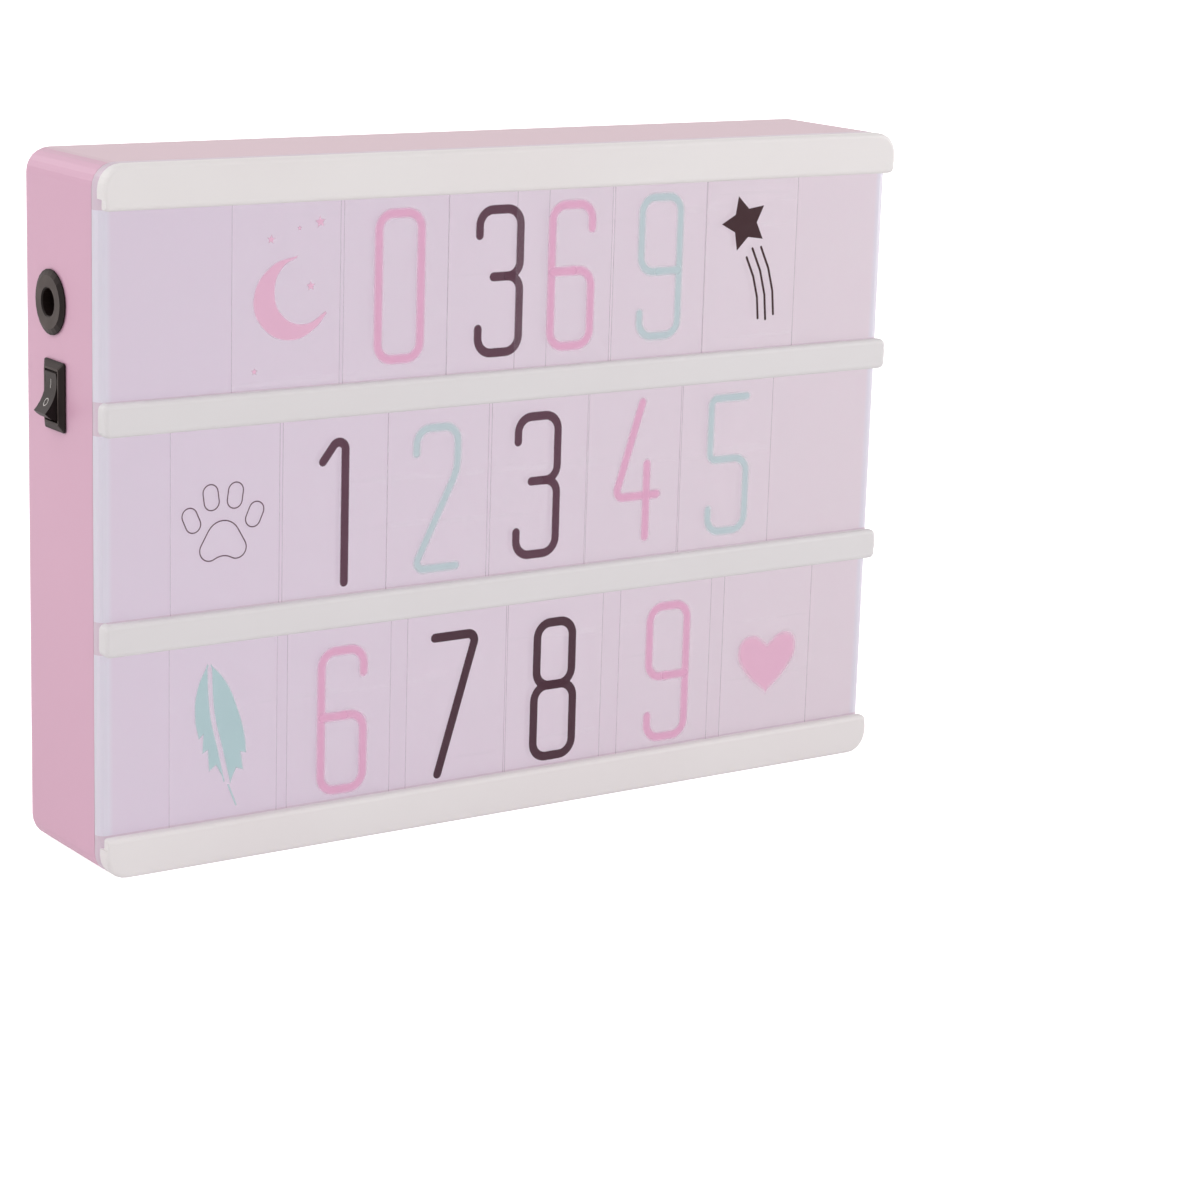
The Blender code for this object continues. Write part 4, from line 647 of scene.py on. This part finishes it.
def draw_stroke(start, heading, moves, pen, closed=False):
    """Draws a stroke from start. A move is (length, 0) for a straight, or (radius, degrees to the left)."""
    angle = math.radians(heading)
    at = Vector((start[0], start[1], 0))
    bpy.ops.mesh.primitive_circle_add(vertices=NIB_SIDES, radius=pen / 2, fill_type="TRIFAN")
    bpy.ops.transform.rotate(value=-angle, orient_axis="Z", center_override=(0, 0, 0))
    bpy.context.object.location = at
    bpy.ops.object.transform_apply(location=True, rotation=True)
    ahead = Vector((math.cos(angle), math.sin(angle), 0))
    bpy.ops.object.mode_set(mode="EDIT")
    select_where(lambda co: (co - at).dot(ahead) > TINY)
    bpy.ops.mesh.delete(type="VERT")
    if closed:
        select_where(lambda co: (co - at).dot(ahead) < -TINY)
        bpy.ops.mesh.delete(type="VERT")
    select_where(lambda co: abs((co - at).dot(ahead)) < TINY)
    for size, bend in moves:
        left = Vector((-math.sin(angle), math.cos(angle), 0))
        if bend:
            sweep = math.radians(bend)
            centre = at + left * math.copysign(size, bend)
            steps = max(2, round(abs(sweep) / ARC_STEP))
            bpy.ops.mesh.spin(steps=steps, angle=-sweep, center=centre, axis=(0, 0, 1))
            at = centre + Matrix.Rotation(sweep, 3, "Z") @ (at - centre)
            angle += sweep
        else:
            step = Vector((math.cos(angle), math.sin(angle), 0)) * size
            bpy.ops.mesh.extrude_region_move(TRANSFORM_OT_translate={"value": step})
            at = at + step
    if not closed:
        ahead = Vector((math.cos(angle), math.sin(angle), 0))
        left = Vector((-math.sin(angle), math.cos(angle), 0))
        select_where(
            lambda co: abs((co - at).dot(ahead)) < TINY and -pen < (co - at).dot(left) < TINY
        )
        bpy.ops.mesh.spin(steps=NIB_SIDES // 2, angle=-math.pi, center=at, axis=(0, 0, 1))
    bpy.ops.mesh.select_all(action="SELECT")
    bpy.ops.mesh.remove_doubles(threshold=TINY)
    bpy.ops.object.mode_set(mode="OBJECT")
    return bpy.context.object


# %% [markdown]
# ## Filling an outline
# The solid pictures, such as the heart, are drawn as a closed flat curve that fills itself. Its
# points are smooth or sharp, and the curve becomes a mesh before anything else is done to it.

# %% Fill one outline
CURVE_STEPS = 10


def fill_outline(points):
    """Fills a closed outline. A point is (x, y), or (x, y, "sharp") for a corner."""
    bpy.ops.curve.primitive_bezier_circle_add(radius=1)
    curve = bpy.context.object.data
    curve.dimensions = "2D"
    curve.fill_mode = "BOTH"
    curve.resolution_u = CURVE_STEPS
    curve.splines.clear()
    spline = curve.splines.new("BEZIER")
    spline.bezier_points.add(len(points) - 1)
    spline.use_cyclic_u = True
    for point, values in zip(spline.bezier_points, points):
        point.co = (values[0], values[1], 0)
        kind = "VECTOR" if len(values) > 2 else "AUTO"
        point.handle_left_type = kind
        point.handle_right_type = kind
    bpy.ops.object.convert(target="MESH")
    bpy.ops.object.mode_set(mode="EDIT")
    bpy.ops.mesh.select_all(action="SELECT")
    bpy.ops.mesh.remove_doubles(threshold=TINY)
    bpy.ops.mesh.dissolve_faces()
    bpy.ops.object.mode_set(mode="OBJECT")
    return bpy.context.object


# %% [markdown]
# ## From drawing to print
# Each shape gets a narrow rim by an inset, and the ink attribute is set to 1 inside it. The shapes
# of one print are joined, stood up and moved to the card. A layer of ink is a hundredth of a
# millimetre thick, so it is a flat sheet that far in front of the film, and where two strokes
# cross, one lies a hair's breadth in front of the other.

# %% Fade the rim and finish a print
INK_THICKNESS = 0.01
LAYER_GAP = 0.005
PRESS_CUTS = 3


def fade_rim(shape, fade):
    """Insets the rim of a flat shape and marks what is inside it as full ink."""
    shape.data.attributes.new("ink", "FLOAT", "POINT")
    shape.data.attributes.active = shape.data.attributes["ink"]
    bpy.ops.object.select_all(action="DESELECT")
    shape.select_set(True)
    bpy.context.view_layer.objects.active = shape
    bpy.ops.object.mode_set(mode="EDIT")
    bpy.ops.mesh.select_all(action="SELECT")
    bpy.ops.mesh.normals_make_consistent(inside=False)
    bpy.ops.mesh.inset(thickness=fade, depth=0)
    bpy.ops.mesh.attribute_set(value_float=1.0)
    bpy.ops.object.mode_set(mode="OBJECT")
    if sum(face.normal.z for face in shape.data.polygons) < 0:
        shape.data.flip_normals()


def press_onto(drawing, target):
    """Projects a flat print along X onto a hollow face, a hair in front of it."""
    bpy.ops.object.mode_set(mode="EDIT")
    bpy.ops.mesh.select_all(action="SELECT")
    bpy.ops.mesh.subdivide(number_cuts=PRESS_CUTS)
    bpy.ops.object.mode_set(mode="OBJECT")
    bpy.ops.object.modifier_add(type="SHRINKWRAP")
    wrap = drawing.modifiers[-1]
    wrap.target = target
    wrap.wrap_method = "PROJECT"
    wrap.use_project_x = True
    wrap.use_project_y = False
    wrap.use_project_z = False
    wrap.use_positive_direction = True
    wrap.use_negative_direction = False
    wrap.offset = INK_THICKNESS * MM
    bpy.ops.object.modifier_apply(modifier=wrap.name)


def finish_print(name, shapes, ink, fade, body, place, facing, onto=None):
    """Joins the shapes of one print, scales them to metres, and puts them on their body."""
    for index, shape in enumerate(shapes):
        fade_rim(shape, shape.get("fade", fade))
        shape.location.z = LAYER_GAP * index
    bpy.ops.object.select_all(action="DESELECT")
    for shape in shapes:
        shape.select_set(True)
    bpy.context.view_layer.objects.active = shapes[0]
    if len(shapes) > 1:
        bpy.ops.object.join()
    drawing = bpy.context.object
    drawing.name = name
    drawing.data.name = name
    bpy.ops.object.transform_apply(location=True, rotation=True, scale=True)
    drawing.scale = (MM, MM, MM)
    drawing.rotation_euler = facing
    drawing.location = place
    bpy.ops.object.transform_apply(location=True, rotation=True, scale=True)
    drawing.data.materials.append(inks[ink])
    throw_no_shade(drawing)
    if onto:
        press_onto(drawing, onto)
    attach(drawing, body)
    return drawing


# %% [markdown]
# ## The numbers
# The numbers are tall and narrow: about 46 mm high and up to 15.5 mm wide along the middle of the
# stroke, with most corners of 5 mm. Each is one or two strokes, given as a start, a heading in
# degrees, its moves, and whether it closes on itself. Zero is a closed stroke, and nine is six
# turned round.

# %% Set out the strokes of each number
EDGE = 7.75
TOP = 23
CORNER = 5
BEND = 2.4
HOOK_LENGTH = 3
FLAT = 2 * EDGE - 2 * CORNER
SIDE = 2 * TOP - 2 * CORNER
HOOK_START = TOP - CORNER - HOOK_LENGTH
HOOK = [(HOOK_LENGTH, 0)]
HALF_SIDE = [(SIDE / 2, 0)]
TURN_LEFT = [(CORNER, 90), (FLAT, 0), (CORNER, 90)]
TURN_RIGHT = [(CORNER, -90), (FLAT, 0), (CORNER, -90)]
SHORT_TURN = [(CORNER, 90), (4, 0), (CORNER, 90)]
SIX = HOOK + TURN_LEFT + [(SIDE, 0)] + TURN_LEFT + [(14.5, 0), (CORNER, 90), (2, 0)]

NUMBERS = {
    "0": [((-EDGE, 0), -90, HALF_SIDE + TURN_LEFT + [(SIDE, 0)] + TURN_LEFT + HALF_SIDE, True)],
    "1": [((-5, 16), 52, [(6.2, 0), (BEND, -142), (42.9, 0)], False)],
    "2": [
        (
            (-EDGE, HOOK_START),
            90,
            HOOK + TURN_RIGHT + [(6, 0), (14, -27), (28.3, 0), (BEND, 117), (12.3, 0)],
            False,
        )
    ],
    "3": [
        ((-EDGE, HOOK_START), 90, HOOK + TURN_RIGHT + [(12, 0), (4.5, -90), (5.5, 0)], False),
        ((3.25, 1.5), 0, [(4.5, -90), (15, 0)] + TURN_RIGHT + HOOK, False),
    ],
    "4": [
        ((1.6, TOP), -107.7, [(30, 0), (BEND, 107.7), (13.8, 0)], False),
        ((4.2, 2), -90, [(25, 0)], False),
    ],
    "5": [
        (
            (7, TOP),
            180,
            [(12.3, 0), (BEND, 90), (16.3, 0), (BEND, 90), (8.0, 0), (CORNER, -90), (15, 0)]
            + TURN_RIGHT
            + HOOK,
            False,
        )
    ],
    "6": [((EDGE, HOOK_START), 90, SIX, False), ((0.75, 1.5), 180, [(8, 0)], False)],
    "7": [((-EDGE, TOP), 0, [(12.8, 0), (BEND, -107), (45.1, 0)], False)],
    "8": [
        ((-7, 12), -90, [(5.5, 0)] + SHORT_TURN + [(11.5, 0)] + SHORT_TURN + [(6, 0)], True),
        ((-EDGE, -10), -90, [(8, 0)] + TURN_LEFT + [(14.5, 0)] + TURN_LEFT + [(6.5, 0)], True),
    ],
    "9": [((-EDGE, -HOOK_START), -90, SIX, False), ((-0.75, -1.5), 0, [(8, 0)], False)],
}
print("numbers set out:", len(NUMBERS))

# %% [markdown]
# ## The small pictures
# Five cards hold pictures in place of numbers: a crescent moon with stars, a shooting star, a paw
# print, a feather and a heart. Solid shapes are filled outlines, and thin lines are strokes. Most
# shapes take the fade of their card. A star's fade is a share of its radius, because a rim as
# wide as the moon's would swallow the smallest, and the heart has a wide soft rim of its own.

# %% Draw a star and a loop
STAR_TIPS = 5
STAR_INNER = 0.52
STAR_FADE = 0.3
TIP_STEP = 360 / STAR_TIPS


def draw_star(x, y, radius, tip_angle, fade=STAR_FADE):
    """A five pointed star: a circle of ten points, every other one drawn in towards its middle."""
    bpy.ops.mesh.primitive_circle_add(vertices=2 * STAR_TIPS, radius=radius, fill_type="NGON")
    bpy.ops.object.mode_set(mode="EDIT")
    first = Vector((0, radius, 0))
    angles = [math.radians(TIP_STEP * (i + 0.5)) for i in range(STAR_TIPS)]
    inner = [Matrix.Rotation(angle, 3, "Z") @ first for angle in angles]
    select_where(lambda co: any((co - point).length < TINY for point in inner))
    bpy.ops.transform.resize(value=(STAR_INNER, STAR_INNER, 1), center_override=(0, 0, 0))
    bpy.ops.object.mode_set(mode="OBJECT")
    star = bpy.context.object
    star.rotation_euler.z = math.radians(tip_angle - 90)
    star.location = (x, y, 0)
    bpy.ops.object.transform_apply(location=True, rotation=True)
    star["fade"] = fade * radius
    return star


def draw_loop(x, y, lean, radius, straight, pen):
    """A long closed loop about a point, leaning by so many degrees from upright."""
    heading = 90 - lean
    along = Vector((math.cos(math.radians(heading)), math.sin(math.radians(heading))))
    start = Vector((x, y)) - along * straight / 2 + Vector((along.y, -along.x)) * radius
    moves = [(straight, 0), (radius, 180), (straight, 0), (radius, 180)]
    return draw_stroke(start, heading, moves, pen, closed=True)


# %% Draw the pictures
CRISP_FADE = 0.02
HEART_FADE = 2.6
TRAIL_PEN = 1.0
TRAIL_HEADING = -59.7
TRAIL_BEND = -30
PAW_PEN = 0.5
TOE_RADIUS = 2.6
TOE_LENGTH = 3.0
STEM_PEN = 1.1


def draw_moon_and_stars():
    """A fat crescent that opens to the upper right, with five small stars about it."""
    moon = fill_outline(
        [
            (4.0, 12.6, "sharp"),
            (-5.6, 9.6),
            (-11.8, 0.2),
            (-8.6, -9.6),
            (1.6, -14.2),
            (10.2, -11.0),
            (14.6, -6.2, "sharp"),
            (13.8, -5.2, "sharp"),
            (6.4, -8.8),
            (-1.4, -5.6),
            (-3.9, 2.2),
            (-1.2, 8.6),
            (3.8, 11.4, "sharp"),
        ]
    )
    stars = [
        draw_star(11.6, 22.2, 2.5, 96),
        draw_star(-5.6, 17.6, 1.9, 84),
        draw_star(8.4, 2.6, 2.1, 92),
        draw_star(4.3, 20.6, 1.1, 90),
        draw_star(-11.2, -22.8, 1.5, 90),
    ]
    return [moon] + stars


def draw_shooting_star():
    """A solid star with three fine bent lines behind it."""
    lines = [((-1.9, 2.6), 41.9), ((0.4, 5.5), 48.7), ((4.0, 5.8), 46.3)]
    trails = [
        draw_stroke(start, TRAIL_HEADING, [(radius, TRAIL_BEND)], TRAIL_PEN)
        for start, radius in lines
    ]
    return [draw_star(-3.2, 14.2, 9.8, 108, CRISP_FADE)] + trails


def draw_paw():
    """A paw print in one fine line: a pad and four toes."""
    side = [(6, -30), (3.4, 150), (5, 0), (5.94, 60)]
    pad = draw_stroke((0, -10.5), 0, side + side[::-1], PAW_PEN, closed=True)
    toes = [(-11, 1.6, -24), (-4.2, 8.2, -8), (4.2, 8.2, 8), (11, 1.6, 24)]
    return [pad] + [draw_loop(x, y, lean, TOE_RADIUS, TOE_LENGTH, PAW_PEN) for x, y, lean in toes]


def draw_feather():
    """A feather of two blades with an open line for the shaft, and a fine stem."""
    left = fill_outline(
        [
            (-5.6, 23.4, "sharp"),
            (-9.6, 15.0),
            (-10.4, 5.5),
            (-9.0, -1.6, "sharp"),
            (-7.6, -0.6, "sharp"),
            (-7.8, -6.4, "sharp"),
            (-5.9, -5.6, "sharp"),
            (-5.4, -12.6, "sharp"),
            (-2.8, -10.8, "sharp"),
            (0.9, -17.2, "sharp"),
            (-1.6, -6.0),
            (-4.4, 6.0),
        ]
    )
    right = fill_outline(
        [
            (-4.7, 23.0, "sharp"),
            (0.9, 16.6),
            (5.2, 7.0),
            (7.9, -3.0),
            (8.3, -8.0, "sharp"),
            (6.4, -7.6, "sharp"),
            (7.4, -13.6, "sharp"),
            (4.6, -12.6, "sharp"),
            (2.2, -17.6, "sharp"),
            (-0.6, -6.0),
            (-3.5, 6.0),
        ]
    )
    stem = draw_stroke((1.6, -17.4), -68, [(7.5, 0)], STEM_PEN)
    return [left, right, stem]


def draw_heart():
    """A plump heart with a soft rim."""
    half = [(5.4, 10.0), (11.3, 8.8), (13.5, 2.7), (9.8, -4.6)]
    left = [(-x, y) for x, y in half[::-1]]
    heart = fill_outline([(0, 6.8, "sharp")] + half + [(0, -13.2, "sharp")] + left)
    heart["fade"] = HEART_FADE
    return [heart]


PICTURES = {
    "moon": draw_moon_and_stars,
    "star": draw_shooting_star,
    "paw": draw_paw,
    "feather": draw_feather,
    "heart": draw_heart,
}

# %% [markdown]
# ## Print the cards
# Each card is named with what is on it, its ink, and how many millimetres to the right and up the
# print sits from the card's middle, which is never quite the same on the real ones. The pens differ
# with the ink: pink and mint spread a little, so their strokes are wider. The black inks are crisp,
# so their rims are narrow.

# %% Print every card
PEN = {"rose": 4.3, "pale": 4.0, "black": 3.3, "deep": 3.3}
FADE = {"rose": 1.5, "pale": 1.5, "black": 0.4, "deep": 0.25}
FINE_FADE = 0.12
SOFT_FADE = 0.75
FRONT = (math.pi / 2, 0, 0)

CARDS = [
    ("card_top_1", "moon", "pink", 0, 0),
    ("card_top_2", "0", "rose", 1.2, 0.7),
    ("card_top_3", "3", "black", 0.2, 0.1),
    ("card_top_4", "6", "rose", 2.3, 0.5),
    ("card_top_5", "9", "pale", 0.6, 1.3),
    ("card_top_6", "star", "night", 0, 0),
    ("card_middle_1", "paw", "black", -0.9, -1.2),
    ("card_middle_2", "1", "black", 0.2, -1.2),
    ("card_middle_3", "2", "pale", -0.6, -0.8),
    ("card_middle_4", "3", "black", -1.1, -0.1),
    ("card_middle_5", "4", "rose", 1.3, 1.0),
    ("card_middle_6", "5", "pale", 0.8, 0),
    ("card_bottom_1", "feather", "mint", 0, -0.6),
    ("card_bottom_2", "6", "rose", 1.1, -2.2),
    ("card_bottom_3", "7", "deep", -1.0, -2.6),
    ("card_bottom_4", "8", "deep", -0.3, -2.4),
    ("card_bottom_5", "9", "rose", 1.2, -2.4),
    ("card_bottom_6", "heart", "pink", 0.5, -3.4),
]

bpy.ops.object.select_all(action="DESELECT")
for card, content, ink, right, up in CARDS:
    low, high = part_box(card)
    if content in NUMBERS:
        shapes = [draw_stroke(*stroke[:3], PEN[ink], stroke[3]) for stroke in NUMBERS[content]]
        fade = FADE[ink]
    else:
        shapes = PICTURES[content]()
        fade = FINE_FADE if ink in ("black", "night") else SOFT_FADE
    middle = (low + high) / 2
    depth = low.y - INK_THICKNESS * MM
    place = (middle.x + right * MM, depth, middle.z + up * MM)
    print_piece = finish_print(card + "_ink", shapes, ink, fade, card, place, FRONT)
    print(card, content, ink, "faces:", len(print_piece.data.polygons))

# %% [markdown]
# ## The marks on the switch
# The rocker carries a bar for on and a ring for off, pad printed in off white. They are drawn flat
# in front of the rocker and then projected onto its hollow face.

# %% Mark the rocker
MARK_PEN = 0.32
MARK_FADE = 0.06
BAR_LENGTH = 2.6
RING_RADIUS = 1.05
ON_HEIGHT = 3.8
OFF_HEIGHT = -1.8
DRAWN_AHEAD = 1.0
SIDEWAYS = (math.pi / 2, 0, -math.pi / 2)

bpy.ops.object.select_all(action="DESELECT")
rocker = nodes["switch_rocker"]
rocker_low, rocker_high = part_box("switch_rocker")
rocker_middle = (rocker_low + rocker_high) / 2
bar = draw_stroke((0, ON_HEIGHT - BAR_LENGTH / 2), 90, [(BAR_LENGTH, 0)], MARK_PEN)
ring = draw_stroke((RING_RADIUS, OFF_HEIGHT), 90, [(RING_RADIUS, 180)] * 2, MARK_PEN, closed=True)
place = (rocker_low.x - DRAWN_AHEAD * MM, rocker_middle.y, rocker_middle.z)
marks = finish_print("rocker_marks", [bar, ring], "white", MARK_FADE, "rocker", place, SIDEWAYS, rocker)
print("marks on the rocker, faces:", len(marks.data.polygons))

# %% [markdown]
# ## Floor, surroundings and lamps
# The box stands on a pale floor in white surroundings. The camera, and the reflections in glossy
# parts, see the surroundings as pure white. The floor glows by itself for the camera, and about
# half as much in reflections, so it reads as white but for the darkest of the shadow under the
# box. Large soft lamps stand at the front left, at the left, at the front right, high on the left
# and behind. A weak one at the back, slightly warm, is what the top mirrors. Their places are in
# metres and their powers in watts.

# %% Make the floor
FLOOR_RADIUS = 8.0
FLOOR_SIDES = 96
FLOOR_DROP = 0.00005
FLOOR_TONE = 0.82
FLOOR_LIFT = 0.92
FLOOR_SHEEN = 0.50

bpy.ops.object.select_all(action="DESELECT")
bpy.ops.mesh.primitive_circle_add(
    vertices=FLOOR_SIDES, radius=FLOOR_RADIUS, fill_type="NGON", location=(0, 0, -FLOOR_DROP)
)
floor = bpy.context.object
floor.name = "floor"
bpy.ops.object.transform_apply(location=True)

floor_paint = bpy.data.materials.new("matt_white_floor")
floor_paint.use_nodes = True
tree = floor_paint.node_tree
tree.nodes.remove(tree.nodes["Principled BSDF"])
path = add_node(tree, "ShaderNodeLightPath")
mirrored = add_node(
    tree,
    "ShaderNodeMath",
    {"operation": "MAXIMUM"},
    {0: path.outputs["Is Glossy Ray"], 1: path.outputs["Is Transmission Ray"]},
)
sheen = add_node(
    tree, "ShaderNodeMath", {"operation": "MULTIPLY", 1: FLOOR_SHEEN}, {0: mirrored.outputs["Value"]}
)
seen = add_node(
    tree, "ShaderNodeMath", {"operation": "MULTIPLY", 1: FLOOR_LIFT}, {0: path.outputs["Is Camera Ray"]}
)
lift = add_node(
    tree,
    "ShaderNodeMath",
    {"operation": "MAXIMUM"},
    {0: sheen.outputs["Value"], 1: seen.outputs["Value"]},
)
matt = add_node(tree, "ShaderNodeBsdfDiffuse", {"Color": (FLOOR_TONE, FLOOR_TONE, FLOOR_TONE, 1)})
glow = add_node(tree, "ShaderNodeEmission", links={"Strength": lift.outputs["Value"]})
both = add_node(
    tree, "ShaderNodeAddShader", links={0: matt.outputs["BSDF"], 1: glow.outputs["Emission"]}
)
tree.links.new(both.outputs["Shader"], tree.nodes["Material Output"].inputs["Surface"])
floor.data.materials.append(floor_paint)
print("floor radius in metres:", FLOOR_RADIUS)

# %% Make the surroundings
WORLD_LIGHT = 0.53

world = bpy.data.worlds.new("white_surroundings")
bpy.context.scene.world = world
world.use_nodes = True
tree = world.node_tree
path = add_node(tree, "ShaderNodeLightPath")
seen = add_node(
    tree,
    "ShaderNodeMath",
    {"operation": "MAXIMUM"},
    {0: path.outputs["Is Camera Ray"], 1: path.outputs["Is Glossy Ray"]},
)
either = add_node(
    tree,
    "ShaderNodeMath",
    {"operation": "MAXIMUM"},
    {0: seen.outputs["Value"], 1: path.outputs["Is Transmission Ray"]},
)
level = add_node(
    tree,
    "ShaderNodeMapRange",
    {"To Min": WORLD_LIGHT, "To Max": 1.0},
    {"Value": either.outputs["Value"]},
)
backdrop = tree.nodes["Background"]
backdrop.inputs["Color"].default_value = (1, 1, 1, 1)
tree.links.new(level.outputs["Result"], backdrop.inputs["Strength"])
print("light from the surroundings:", WORLD_LIGHT)

# %% Place the lamps
LAMPS = [
    ("key", (-0.8, -2.3, 0.42), 13.1, "#ffffff"),
    ("left", (-2.2, 0.3, 0.42), 5.4, "#ffffff"),
    ("right", (2.1, -1.0, 0.45), 26.4, "#ffffff"),
    ("high", (-1.5, 0.1, 1.9), 14.3, "#ffffff"),
    ("back", (-0.9, 2.1, 1.3), 5.7, "#ffffff"),
    ("sheen", (1.34, 1.9, 0.78), 1.5, "#fff6e6"),
]
LAMP_SIZE = 1.3
AIM = Vector((0, 0, 0.1))
for name, place, power, tint in LAMPS:
    aim = (AIM - Vector(place)).to_track_quat("-Z", "Y").to_euler()
    bpy.ops.object.light_add(type="AREA", location=place, rotation=aim)
    lamp = bpy.context.object
    lamp.name = "lamp_" + name
    lamp.data.size = LAMP_SIZE
    lamp.data.energy = power
    lamp.data.color = colour(tint)[:3]
bpy.context.scene.view_settings.view_transform = "Standard"
print("lamps:", len(LAMPS))
